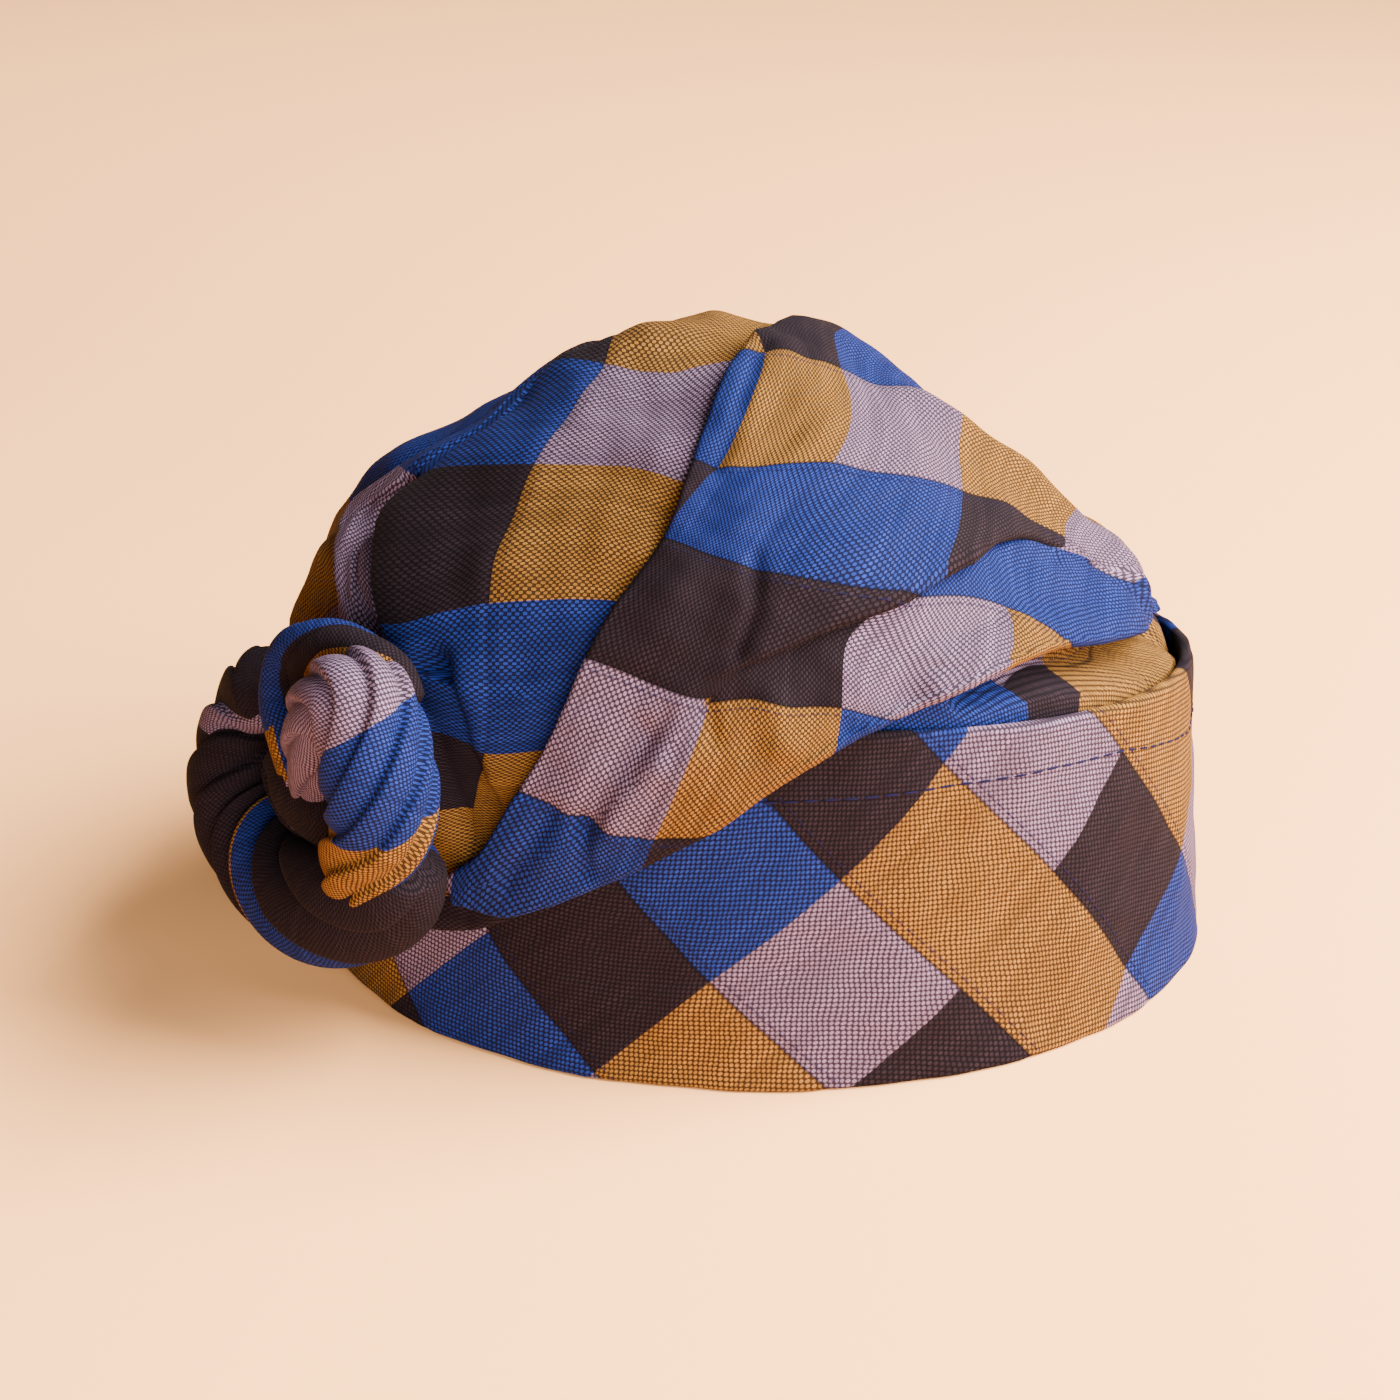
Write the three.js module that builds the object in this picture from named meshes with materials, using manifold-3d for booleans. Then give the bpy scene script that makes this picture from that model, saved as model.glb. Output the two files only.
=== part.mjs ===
// A turban-style hat in strip-woven check cloth: a fitted band, a cap, two draped wraps and a rosette knot.
// Millimetres, +Z up. The front of the hat faces -Y and the knot sits on its -X side.
import * as THREE from 'three';
import { mergeVertices } from 'three/addons/utils/BufferGeometryUtils.js';
import Module from 'manifold-3d';

// Band: half sizes at its foot, rim height, and how much the rim rises at the front and on the knot's side.
const BAND_HALF_WIDTH = 102;
const BAND_HALF_DEPTH = 84;
const RIM_HEIGHT = 71.75;
const RIM_FRONT_RISE = 8.5;
const RIM_KNOT_SIDE_RISE = 3;
const BAND_LEAN_PER_MM = 0.0008;
const BAND_WALL = 3;
const BAND_HEM = 0.3;
const BAND_TURN = 1.6;
const BAND_AROUND = 72;

// The band wall's section, as a loop: a share of the rim's height, a fixed rise, and the depth from its face.
const BAND_SECTION = [
  { share: 0, rise: 0, depth: BAND_HEM },
  { share: 0, rise: BAND_TURN, depth: 0 },
  { share: 0.35, rise: 0, depth: 0 },
  { share: 0.7, rise: 0, depth: 0 },
  { share: 1, rise: -BAND_TURN, depth: 0 },
  { share: 1, rise: 0, depth: BAND_WALL / 3 },
  { share: 1, rise: 0, depth: (BAND_WALL * 2) / 3 },
  { share: 1, rise: -BAND_TURN, depth: BAND_WALL },
  { share: 0.5, rise: 0, depth: BAND_WALL },
  { share: 0, rise: BAND_TURN, depth: BAND_WALL },
  { share: 0, rise: 0, depth: BAND_WALL - BAND_HEM },
];

// Cloth: a folded layer's thickness, the clearance between seated pieces, the least wall left in a tight seat,
// and how much and over which share of its width a wrap's edge swells.
const CLOTH = 2.2;
const SEAT_GAP = 0.6;
const LEAST_WALL = 1.2;
const EDGE_PUFF = 1.2;
const EDGE_SHARE = 0.12;
const CLOTH_ROUGHNESS = 0.9;
const OCHRE = '#b98b3c';
const LAVENDER = '#a996a3';
const BROWN = '#4a3a38';
const BLUE = '#2a5bc0';

// Draped faces are reaches from the middle of the head, by azimuth (0 at the front, 90 on +X) and elevation,
// in degrees.
const HEAD_MIDDLE = 60;

// Outer face of the drape: how far it reaches on each side, at each elevation.
const DRAPE_ROWS = [
  { elevation: -30, left: 119, right: 120, front: 100, back: 100 },
  { elevation: -15, left: 106, right: 105, front: 90, back: 88 },
  { elevation: 0, left: 104.5, right: 93.5, front: 86.6, back: 79 },
  { elevation: 15, left: 103.5, right: 86.3, front: 87.2, back: 79.2 },
  { elevation: 30, left: 94, right: 77.3, front: 87.4, back: 79.4 },
  { elevation: 45, left: 86.2, right: 72.7, front: 87, back: 80 },
  { elevation: 60, left: 83.5, right: 72.8, front: 86, back: 81 },
  { elevation: 75, left: 82, right: 76, front: 84, back: 81.5 },
  { elevation: 90, left: 81, right: 81, front: 81, back: 81 },
];

// Crown: how far it lies under the drape, where it comes up to show, and its clearance to the band at the back.
const CROWN_INSET = 6.2;
const CROWN_SHOWN_INSET = 3;
const CROWN_SHOWN_AZIMUTH = 65;
const CROWN_SHOWN_SPREAD = { starts: 0.3, full: 0.8 };
const CROWN_SHOWN_ELEVATION = { full: 30, ends: 60 };
const CROWN_BACK_CLEARANCE = 2.8;
const CROWN_BACK_SPREAD = { starts: -0.2, full: 0.5 };
const CROWN_FOOT = -12;
const CROWN_STEPS = { around: 48, down: 24 };

// Puffy tucks of the crown above the rim.
const TUCK_ROWS = [
  { azimuth: 27, halfWidth: 9, height: 1.6 },
  { azimuth: 46, halfWidth: 7, height: 2.2 },
  { azimuth: 60, halfWidth: 6, height: 2.6 },
  { azimuth: 77, halfWidth: 10, height: 3 },
  { azimuth: 97, halfWidth: 8, height: 2.4 },
];
const TUCK_LOW = -6;
const TUCK_TOP = 14;

// Upper wrap, from its tip at the knot to its end sewn on the rim: azimuth and elevation of its rolled lower
// edge, of its pleat and of its folded upper edge, its lift off the drape, the depth of the roll and how far
// the row is drawn in to the rim.
const OVER_WRAP_ROWS = [
  { low: [-44.5, -14.6], pleat: [-45.5, -12.8], fold: [-46, -10.5], lift: 1.5, roll: 2.2, sewn: 0 },
  { low: [-35.5, -14.2], pleat: [-38, -9], fold: [-40, -5.5], lift: 1.5, roll: 2.2, sewn: 0 },
  { low: [-23, -9.1], pleat: [-27, -1], fold: [-33, 4.2], lift: 0.8, roll: 6, sewn: 0 },
  { low: [-11, -0.3], pleat: [-18, 8.5], fold: [-29, 15], lift: 0.3, roll: 7, sewn: 0 },
  { low: [-1, 6], pleat: [-10, 19], fold: [-24, 31], lift: 0, roll: 7, sewn: 0 },
  { low: [13, 14], pleat: [4, 26.5], fold: [-17.5, 43], lift: 0, roll: 7, sewn: 0 },
  { low: [27.5, 18.3], pleat: [19, 32], fold: [-14, 58], lift: 0, roll: 5, sewn: 0 },
  { low: [43.5, 19.7], pleat: [36, 36.5], fold: [-12, 70], lift: 0, roll: 5, sewn: 0 },
  { low: [64, 15.2], pleat: [60, 35], fold: [-15, 86], lift: 0, roll: 5, sewn: 0.2 },
  { low: [80, 11.5], pleat: [90, 28], fold: [166, 69], lift: 0, roll: 4, sewn: 0.2 },
  { low: [97, 9], pleat: [113, 16], fold: [167, 42], lift: 0, roll: 2.2, sewn: 0.7 },
  { low: [112, 4.2], pleat: [135, 3], fold: [168, 2.6], lift: 0, roll: 2.2, sewn: 1 },
];
const OVER_WRAP_STEPS = { along: 42, across: 16 };

// Lower wrap, from its rolled end over the band to its end sewn on the rim: the edge hidden under the upper
// wrap, a line along its middle and its outer edge, how deep the hidden edge is pressed under the drape and
// up to which share across.
const UNDER_WRAP_ROWS = [
  { hidden: [-37, -15.5], middle: [-48, -19], edge: [-62, -20], press: 1.7, pressed: 0.5, roll: 4, sewn: 0 },
  { hidden: [-31, -4], middle: [-52, -8], edge: [-80, -10], press: 2.7, pressed: 0.3, roll: 4, sewn: 0 },
  { hidden: [-26, 8], middle: [-54, 6], edge: [-95, 6.5], press: 3, pressed: 0.2, roll: 4, sewn: 0 },
  { hidden: [-21, 23], middle: [-58, 21], edge: [-106, 9.3], press: 3, pressed: 0.15, roll: 2.2, sewn: 0.6 },
  { hidden: [-15, 38], middle: [-66, 36], edge: [-118, 7.4], press: 3, pressed: 0.12, roll: 2.2, sewn: 1 },
  { hidden: [-9, 52], middle: [-82, 50], edge: [-132, 6.2], press: 3, pressed: 0.12, roll: 2.2, sewn: 1 },
  { hidden: [-2, 66], middle: [-112, 57], edge: [-146, 5.2], press: 3, pressed: 0.12, roll: 2.2, sewn: 1 },
  { hidden: [50, 80], middle: [-140, 48], edge: [-156, 4.4], press: 3, pressed: 0.14, roll: 2.2, sewn: 1 },
  { hidden: [150, 62], middle: [-158, 33], edge: [-164, 4], press: 3, pressed: 0.2, roll: 2.2, sewn: 1 },
  { hidden: [153, 35], middle: [-172, 18], edge: [-170, 3.6], press: 3, pressed: 0.3, roll: 2.2, sewn: 1 },
  { hidden: [152, 2.6], middle: [175, 2.9], edge: [-174, 3.3], press: 3, pressed: 0.42, roll: 2.2, sewn: 1 },
];
const UNDER_WRAP_STEPS = { along: 34, across: 14 };
const RELEASE_SHARE = 0.15;

// Folds, as shares along and across a wrap: a valley at `across` with a slack side and a steep side.
const OVER_WRAP_FOLDS = [
  { across: 0.5, depth: 3.2, slack: 0.3, steep: 0.07, start: 0.28, full: 0.5, fade: 0.62, end: 0.85 },
  { across: 0.3, depth: 1.2, slack: 0.14, steep: 0.1, start: 0.02, full: 0.1, fade: 0.2, end: 0.45 },
  { across: 0.72, depth: 1.2, slack: 0.14, steep: 0.1, start: 0.02, full: 0.08, fade: 0.15, end: 0.35 },
];
const UNDER_WRAP_FOLDS = [
  { across: 0.5, depth: 4.5, slack: 0.16, steep: 0.12, start: 0.02, full: 0.12, fade: 0.2, end: 0.42 },
  { across: 0.68, depth: 3, slack: 0.12, steep: 0.07, start: 0.1, full: 0.25, fade: 0.4, end: 0.7 },
  { across: 0.84, depth: 2.4, slack: 0.12, steep: 0.07, start: 0.1, full: 0.22, fade: 0.4, end: 0.7 },
];

// Sewn ends: how far above the rim they start to draw in, their place on it, and what counts as sewn.
const DRAW_IN = 14;
const RIM_INSET = 0.3;
const RIM_CLEARANCE = 0.35;
const RIM_MARGIN = 2;
const SEWN_ON = 0.5;

// Knot: its middle on the drape, and the run of its rope as seen from outside: how far to the right of the
// middle and above it, the stand-off from the drape and the rope's radius.
const KNOT_MIDDLE = { azimuth: -61, elevation: -3.5 };
const KNOT_OUTER_TURN = [
  { right: -18, up: 17, stand: 0.8, rope: 9 },
  { right: -27, up: 10.5, stand: 1, rope: 11.5 },
  { right: -28.5, up: 2, stand: 2, rope: 13 },
  { right: -27.5, up: -8, stand: 2.5, rope: 13.5 },
  { right: -24, up: -16.5, stand: 2, rope: 13.5 },
  { right: -14, up: -22, stand: 0.8, rope: 13 },
  { right: 2, up: -21.5, stand: 0.8, rope: 13 },
  { right: 16, up: -15.5, stand: 1.5, rope: 12.5 },
  { right: 26, up: -7.5, stand: 3, rope: 11.5 },
  { right: 29.5, up: 2, stand: 5, rope: 9.5 },
];
const KNOT_INNER_TURN = [
  { right: 28, up: -5.5, stand: 3.5, rope: 9 },
  { right: 30, up: 4.5, stand: 6, rope: 11 },
  { right: 29.5, up: 15, stand: 8, rope: 11.5 },
  { right: 26.5, up: 24.5, stand: 9, rope: 11 },
  { right: 19, up: 26.5, stand: 9.5, rope: 10.5 },
  { right: 13.5, up: 18, stand: 8, rope: 10 },
  { right: 8, up: 7, stand: 5.5, rope: 8.5 },
  { right: 2, up: -2, stand: 3, rope: 6 },
];
const KNOT_LOOP = [
  { right: 1, up: -3, stand: 4, rope: 5 },
  { right: -3.5, up: 5.5, stand: 5, rope: 6.5 },
  { right: -8.5, up: 11, stand: 5, rope: 7.5 },
  { right: -10.5, up: 18.5, stand: 4.5, rope: 8 },
  { right: -4, up: 26.5, stand: 3.5, rope: 8 },
  { right: 7.5, up: 31, stand: 1.5, rope: 7.5 },
  { right: 18, up: 30, stand: 0.8, rope: 7 },
  { right: 23, up: 24, stand: 0.8, rope: 6 },
];
const ROPE_SIDES = 10;
const ROPE_LOBES = 4;
const ROPE_LOBE_SHARE = 0.08;
const ROPE_TWISTS = 1.5;
const ROPE_STEPS_PER_ROW = 4;

const WELD = 1e-3;
const { DEG2RAD, RAD2DEG, lerp, smoothstep } = THREE.MathUtils;
const sine = (degrees) => Math.sin(degrees * DEG2RAD);
const cosine = (degrees) => Math.cos(degrees * DEG2RAD);

const wasm = await Module();
wasm.setup();

// The radius of an ellipse at an azimuth.
function ellipse(halfWidth, halfDepth, azimuth) {
  return 1 / Math.hypot(sine(azimuth) / halfWidth, cosine(azimuth) / halfDepth);
}

// A point at a reach from the middle of the head.
function atReach(point, azimuth, elevation, reach) {
  const level = reach * cosine(elevation);
  return point.set(level * sine(azimuth), -level * cosine(azimuth), HEAD_MIDDLE + reach * sine(elevation));
}

// Moves every vertex of a closed three.js shape and welds its seams.
function bend(shape, move) {
  const position = shape.getAttribute('position');
  const point = new THREE.Vector3();
  for (let i = 0; i < position.count; i += 1) {
    move(point.fromBufferAttribute(position, i));
    position.setXYZ(i, point.x, point.y, point.z);
  }
  shape.deleteAttribute('normal');
  shape.deleteAttribute('uv');
  const welded = mergeVertices(shape, WELD);
  welded.computeVertexNormals();
  return welded;
}

function piece(name, geometry, color) {
  const cloth = new THREE.MeshStandardMaterial({ color, roughness: CLOTH_ROUGHNESS, metalness: 0 });
  const mesh = new THREE.Mesh(geometry, cloth);
  mesh.name = name;
  return mesh;
}

// Outer face of the drape.
const DRAPE_SIDES = ['left', 'right', 'front', 'back'];
const drapeReaches = new THREE.CubicInterpolant(
  DRAPE_ROWS.map((row) => row.elevation),
  DRAPE_ROWS.flatMap((row) => DRAPE_SIDES.map((side) => row[side])),
  DRAPE_SIDES.length,
);

function drapeReach(azimuth, elevation) {
  const [left, right, front, back] = drapeReaches.evaluate(elevation);
  const side = sine(azimuth) < 0 ? left : right;
  const face = cosine(azimuth) > 0 ? front : back;
  return ellipse(side, face, azimuth);
}

// Band: the height of its rim, its face, and the reach at which a ray from the head's middle meets that face.
function rimHeight(azimuth) {
  return RIM_HEIGHT + RIM_FRONT_RISE * cosine(azimuth) - RIM_KNOT_SIDE_RISE * sine(azimuth);
}

function bandRadius(azimuth, height) {
  return ellipse(BAND_HALF_WIDTH, BAND_HALF_DEPTH, azimuth) * (1 - BAND_LEAN_PER_MM * height);
}

function bandReach(azimuth, elevation) {
  const foot = ellipse(BAND_HALF_WIDTH, BAND_HALF_DEPTH, azimuth);
  const slope = foot * BAND_LEAN_PER_MM;
  return (foot - slope * HEAD_MIDDLE) / (cosine(elevation) + slope * sine(elevation));
}

function rimElevation(azimuth) {
  const height = rimHeight(azimuth);
  return Math.atan2(height - HEAD_MIDDLE, bandRadius(azimuth, height)) * RAD2DEG;
}

function makeBand() {
  const ringRadius = 2;
  const count = BAND_SECTION.length;
  const ring = new THREE.TorusGeometry(ringRadius, 1, count, BAND_AROUND);
  return bend(ring, (point) => {
    const turn = Math.atan2(point.z, Math.hypot(point.x, point.y) - ringRadius) / (2 * Math.PI);
    const { share, rise, depth } = BAND_SECTION[Math.round(turn * count + count) % count];
    const azimuth = Math.atan2(point.x, -point.y) * RAD2DEG;
    const height = rimHeight(azimuth) * share + rise;
    const radius = bandRadius(azimuth, height) - depth;
    point.set(radius * sine(azimuth), -radius * cosine(azimuth), height);
  });
}

// Crown: a cap under the drape whose foot goes down inside the band.
function tuckHeight(azimuth, elevation) {
  const fade = smoothstep(elevation, TUCK_LOW, 0) * (1 - smoothstep(elevation, TUCK_TOP / 2, TUCK_TOP));
  const rise = TUCK_ROWS.map(({ azimuth: middle, halfWidth, height }) => {
    const share = Math.min(1, Math.abs(azimuth - middle) / halfWidth);
    return height * (1 - share * share);
  });
  return fade * Math.max(0, ...rise);
}

function crownReach(azimuth, elevation) {
  const facing = cosine(azimuth - CROWN_SHOWN_AZIMUTH);
  const below = 1 - smoothstep(elevation, CROWN_SHOWN_ELEVATION.full, CROWN_SHOWN_ELEVATION.ends);
  const shown = smoothstep(facing, CROWN_SHOWN_SPREAD.starts, CROWN_SHOWN_SPREAD.full) * below;
  const inset = lerp(CROWN_INSET, CROWN_SHOWN_INSET, shown);
  const cap = drapeReach(azimuth, elevation) - inset + tuckHeight(azimuth, elevation);
  const behind = smoothstep(-cosine(azimuth), CROWN_BACK_SPREAD.starts, CROWN_BACK_SPREAD.full);
  const clearance = lerp(SEAT_GAP, CROWN_BACK_CLEARANCE, behind);
  return Math.min(cap, bandReach(azimuth, elevation) - BAND_WALL - clearance);
}

function makeCrown() {
  const ball = new THREE.SphereGeometry(1, CROWN_STEPS.around, CROWN_STEPS.down);
  return bend(ball, (point) => {
    const polar = Math.acos(THREE.MathUtils.clamp(point.y, -1, 1)) * RAD2DEG;
    const azimuth = Math.atan2(point.z, -point.x) * RAD2DEG;
    const share = 1 - Math.abs(polar - 90) / 90;
    const elevation = lerp(90, CROWN_FOOT, share);
    const depth = polar > 90 ? CLOTH : 0;
    atReach(point, azimuth, elevation, crownReach(azimuth, elevation) - depth);
  });
}

// A flat map of the drape, with the top of the head at its middle, on which the guide lines of a wrap run.
function toMap([azimuth, elevation]) {
  const distance = 90 - elevation;
  return new THREE.Vector3(distance * sine(azimuth), -distance * cosine(azimuth), 0);
}

function fromMap({ x, y }) {
  return { azimuth: Math.atan2(x, -y) * RAD2DEG, elevation: 90 - Math.hypot(x, y) };
}

// The place on the map for a share along and across a wrap.
function wrapMap(rows, lines) {
  const guides = lines.map((line) => new THREE.CatmullRomCurve3(rows.map((row) => toMap(row[line]))));
  return (along, across) => {
    const section = new THREE.CatmullRomCurve3(guides.map((guide) => guide.getPoint(along)));
    return fromMap(section.getPoint(across));
  };
}

// A row value, at a share along a wrap.
function rowValue(rows, name, along) {
  const place = along * (rows.length - 1);
  const before = Math.min(Math.floor(place), rows.length - 2);
  return lerp(rows[before][name], rows[before + 1][name], place - before);
}

function foldDepth(folds, along, across) {
  const depths = folds.map((fold) => {
    const strength = smoothstep(along, fold.start, fold.full) * (1 - smoothstep(along, fold.fade, fold.end));
    const side = across < fold.across ? fold.slack : fold.steep;
    const share = Math.max(0, 1 - Math.abs(across - fold.across) / side);
    return fold.depth * strength * share * share;
  });
  return Math.max(...depths);
}

// What a wrap lies on: the crown, and the band below its rim.
function restReach(azimuth, elevation) {
  const crown = crownReach(azimuth, elevation);
  const onBand = elevation < rimElevation(azimuth) + RIM_MARGIN;
  const band = onBand ? bandReach(azimuth, elevation) : 0;
  return Math.max(crown, band);
}

// A wrap: a cloth wall between two faces over the map, with a roll along its edge and its end on the rim.
function makeWrap(steps, map, settings) {
  const slab = new THREE.BoxGeometry(1, 1, 1, steps.along, steps.across, 1);
  return bend(slab, (point) => {
    const along = point.x + 0.5;
    const across = point.y + 0.5;
    const isOuter = point.z > 0;
    const { lift, rollDepth, sewn } = settings(along, across);
    const place = map(along, across);
    const rim = rimElevation(place.azimuth) + RIM_CLEARANCE;
    const isSewn = sewn > SEWN_ON;
    const elevation = isSewn ? Math.max(place.elevation, rim) : place.elevation;
    const drawn = sewn * (1 - smoothstep(elevation - rim, 0, DRAW_IN));
    const rest = lerp(
      drapeReach(place.azimuth, elevation),
      bandReach(place.azimuth, elevation) - RIM_INSET,
      drawn,
    );
    const seat = (isSewn ? crownReach : restReach)(place.azimuth, elevation) + SEAT_GAP;
    const outer = Math.max(rest + lift, seat + LEAST_WALL);
    const inner = Math.max(outer - rollDepth, seat);
    atReach(point, place.azimuth, elevation, isOuter ? outer : inner);
  });
}

function makeOverWrap() {
  const map = wrapMap(OVER_WRAP_ROWS, ['low', 'pleat', 'fold']);
  return makeWrap(OVER_WRAP_STEPS, map, (along, across) => {
    const atLow = 1 - smoothstep(across, 0, EDGE_SHARE);
    const atFold = smoothstep(across, 1 - EDGE_SHARE, 1);
    const sewn = rowValue(OVER_WRAP_ROWS, 'sewn', along);
    const puff = EDGE_PUFF * (1 - sewn) * (atLow + atFold);
    const lift = rowValue(OVER_WRAP_ROWS, 'lift', along) - foldDepth(OVER_WRAP_FOLDS, along, across) + puff;
    return { lift, rollDepth: lerp(CLOTH, rowValue(OVER_WRAP_ROWS, 'roll', along), atLow), sewn };
  });
}

function makeUnderWrap() {
  const map = wrapMap(UNDER_WRAP_ROWS, ['hidden', 'middle', 'edge']);
  return makeWrap(UNDER_WRAP_STEPS, map, (along, across) => {
    const pressed = rowValue(UNDER_WRAP_ROWS, 'pressed', along);
    const released = smoothstep(across, pressed, pressed + RELEASE_SHARE);
    const press = rowValue(UNDER_WRAP_ROWS, 'press', along) * (1 - released);
    const atEdge = smoothstep(across, 1 - EDGE_SHARE, 1);
    const atEnd = 1 - smoothstep(along, 0, EDGE_SHARE / 2);
    const sewn = rowValue(UNDER_WRAP_ROWS, 'sewn', along);
    const lift = -press - foldDepth(UNDER_WRAP_FOLDS, along, across);
    const rolled = Math.max(atEdge, atEnd);
    return { lift, rollDepth: lerp(CLOTH, rowValue(UNDER_WRAP_ROWS, 'roll', along), rolled), sewn };
  });
}

// One turn of the knot: a twisted, lobed rope that hugs the drape.
function makeTurn(rows) {
  const { azimuth: middleAzimuth, elevation: middleElevation } = KNOT_MIDDLE;
  const degreesPerMm = RAD2DEG / drapeReach(middleAzimuth, middleElevation);
  const path = new THREE.CatmullRomCurve3(rows.map(({ right, up, stand, rope }) => {
    const azimuth = middleAzimuth + right * degreesPerMm;
    const elevation = middleElevation + up * degreesPerMm;
    const lift = rope * (1 + ROPE_LOBE_SHARE) + stand;
    return atReach(new THREE.Vector3(), azimuth, elevation, drapeReach(azimuth, elevation) + lift);
  }));
  const steps = (rows.length - 1) * ROPE_STEPS_PER_ROW;
  const rod = new THREE.CylinderGeometry(1, 1, 1, ROPE_SIDES, steps);
  const middle = new THREE.Vector3(0, 0, HEAD_MIDDLE);
  return bend(rod, (point) => {
    const along = 0.5 - point.y;
    const angle = Math.atan2(point.z, point.x);
    const lobes = 1 + ROPE_LOBE_SHARE * Math.cos(ROPE_LOBES * angle + 2 * Math.PI * ROPE_TWISTS * along);
    const radius = Math.hypot(point.x, point.z) * rowValue(rows, 'rope', along) * lobes;
    const centre = path.getPoint(along);
    const tangent = path.getTangent(along);
    const outward = centre.clone().sub(middle).projectOnPlane(tangent).normalize();
    const sideways = tangent.clone().cross(outward);
    point.copy(centre);
    point.addScaledVector(outward, radius * Math.cos(angle));
    point.addScaledVector(sideways, radius * Math.sin(angle));
  });
}

function toSolid(geometry) {
  const vertProperties = new Float32Array(geometry.getAttribute('position').array);
  const triVerts = new Uint32Array(geometry.index.array);
  return new wasm.Manifold(new wasm.Mesh({ numProp: 3, vertProperties, triVerts }));
}

function fromSolid(solid) {
  const { vertProperties, triVerts } = solid.getMesh();
  const geometry = new THREE.BufferGeometry();
  geometry.setAttribute('position', new THREE.BufferAttribute(vertProperties, 3));
  geometry.setIndex(new THREE.BufferAttribute(triVerts, 1));
  geometry.computeVertexNormals();
  return geometry;
}

function makeKnot() {
  const outer = toSolid(makeTurn(KNOT_OUTER_TURN));
  const inner = toSolid(makeTurn(KNOT_INNER_TURN));
  const loop = toSolid(makeTurn(KNOT_LOOP));
  return fromSolid(outer.add(inner).add(loop));
}

// The hat, with the middle of its underside at the origin.
const pieces = new THREE.Group();
pieces.add(
  piece('band', makeBand(), OCHRE),
  piece('crown', makeCrown(), LAVENDER),
  piece('under_wrap', makeUnderWrap(), BROWN),
  piece('over_wrap', makeOverWrap(), BLUE),
  piece('knot', makeKnot(), BROWN),
);
const box = new THREE.Box3().setFromObject(pieces);
const boxMiddle = box.getCenter(new THREE.Vector3());
pieces.position.set(-boxMiddle.x, -boxMiddle.y, -box.min.z);

const hat = new THREE.Group();
hat.add(pieces);
export default hat;
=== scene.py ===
"""A turban-style hat in strip-woven check cloth: a fitted band, a cap, two draped wraps and a rosette knot.

Shapes are worked out in millimetres about the middle of the band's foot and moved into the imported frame.
"""
from collections import namedtuple

import bmesh
import bpy
import numpy as np
from bpy.props import FloatProperty, FloatVectorProperty, PointerProperty
from mathutils import Matrix, Vector


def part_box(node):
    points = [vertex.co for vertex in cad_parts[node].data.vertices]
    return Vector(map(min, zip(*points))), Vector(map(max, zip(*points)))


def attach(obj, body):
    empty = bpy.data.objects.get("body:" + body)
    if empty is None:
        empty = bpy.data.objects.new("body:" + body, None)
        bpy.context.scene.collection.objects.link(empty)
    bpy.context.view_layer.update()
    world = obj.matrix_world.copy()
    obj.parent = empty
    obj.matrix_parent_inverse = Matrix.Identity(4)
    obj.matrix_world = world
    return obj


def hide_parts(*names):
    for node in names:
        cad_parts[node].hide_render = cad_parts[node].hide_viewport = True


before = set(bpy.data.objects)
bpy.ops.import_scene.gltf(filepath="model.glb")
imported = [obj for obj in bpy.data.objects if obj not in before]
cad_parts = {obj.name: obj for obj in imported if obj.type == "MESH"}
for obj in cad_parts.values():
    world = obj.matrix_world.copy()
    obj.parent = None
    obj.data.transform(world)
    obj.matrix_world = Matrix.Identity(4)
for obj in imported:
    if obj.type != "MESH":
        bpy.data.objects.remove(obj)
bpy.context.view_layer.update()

BAND_LOW, BAND_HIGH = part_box("band")

bl_info = {
    "name": "Strip-woven turban hat",
    "version": (1, 0, 0),
    "blender": (4, 5, 0),
    "location": "View3D > Sidebar > Turban hat",
    "description": "Builds a wrapped hat in strip-woven check cloth around its packed frame",
    "category": "Add Mesh",
}

MM = 0.001
# Keeps a division or a logarithm away from zero.
TINY = 1e-9
MIDDLE = np.array([(BAND_LOW.x + BAND_HIGH.x) / 2, (BAND_LOW.y + BAND_HIGH.y) / 2, BAND_LOW.z])

# Band, in millimetres: half sizes at its foot from the frame, rim height, rises, lean and wall.
BAND_HALF_WIDTH = (BAND_HIGH.x - BAND_LOW.x) / 2 / MM
BAND_HALF_DEPTH = (BAND_HIGH.y - BAND_LOW.y) / 2 / MM
RIM_HEIGHT = 71.75
RIM_FRONT_RISE = 8.5
RIM_KNOT_SIDE_RISE = 3
BAND_LEAN_PER_MM = 0.0008
BAND_WALL = 3

# Draped faces are reaches from the middle of the head, by azimuth (0 at the front, 90 on +X) and
# elevation, in degrees. Each row gives the reach on four sides at an elevation.
HEAD_MIDDLE = 60
DrapeRow = namedtuple("DrapeRow", "elevation left right front back")
DRAPE_ROWS = (
    DrapeRow(-30, 119, 120, 100, 100),
    DrapeRow(-15, 106, 105, 90, 88),
    DrapeRow(0, 104.5, 93.5, 86.6, 79),
    DrapeRow(15, 103.5, 86.3, 87.2, 79.2),
    DrapeRow(30, 94, 77.3, 87.4, 79.4),
    DrapeRow(45, 86.2, 72.7, 87, 80),
    DrapeRow(60, 83.5, 72.8, 86, 81),
    DrapeRow(75, 82, 76, 84, 81.5),
    DrapeRow(90, 81, 81, 81, 81),
)

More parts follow.
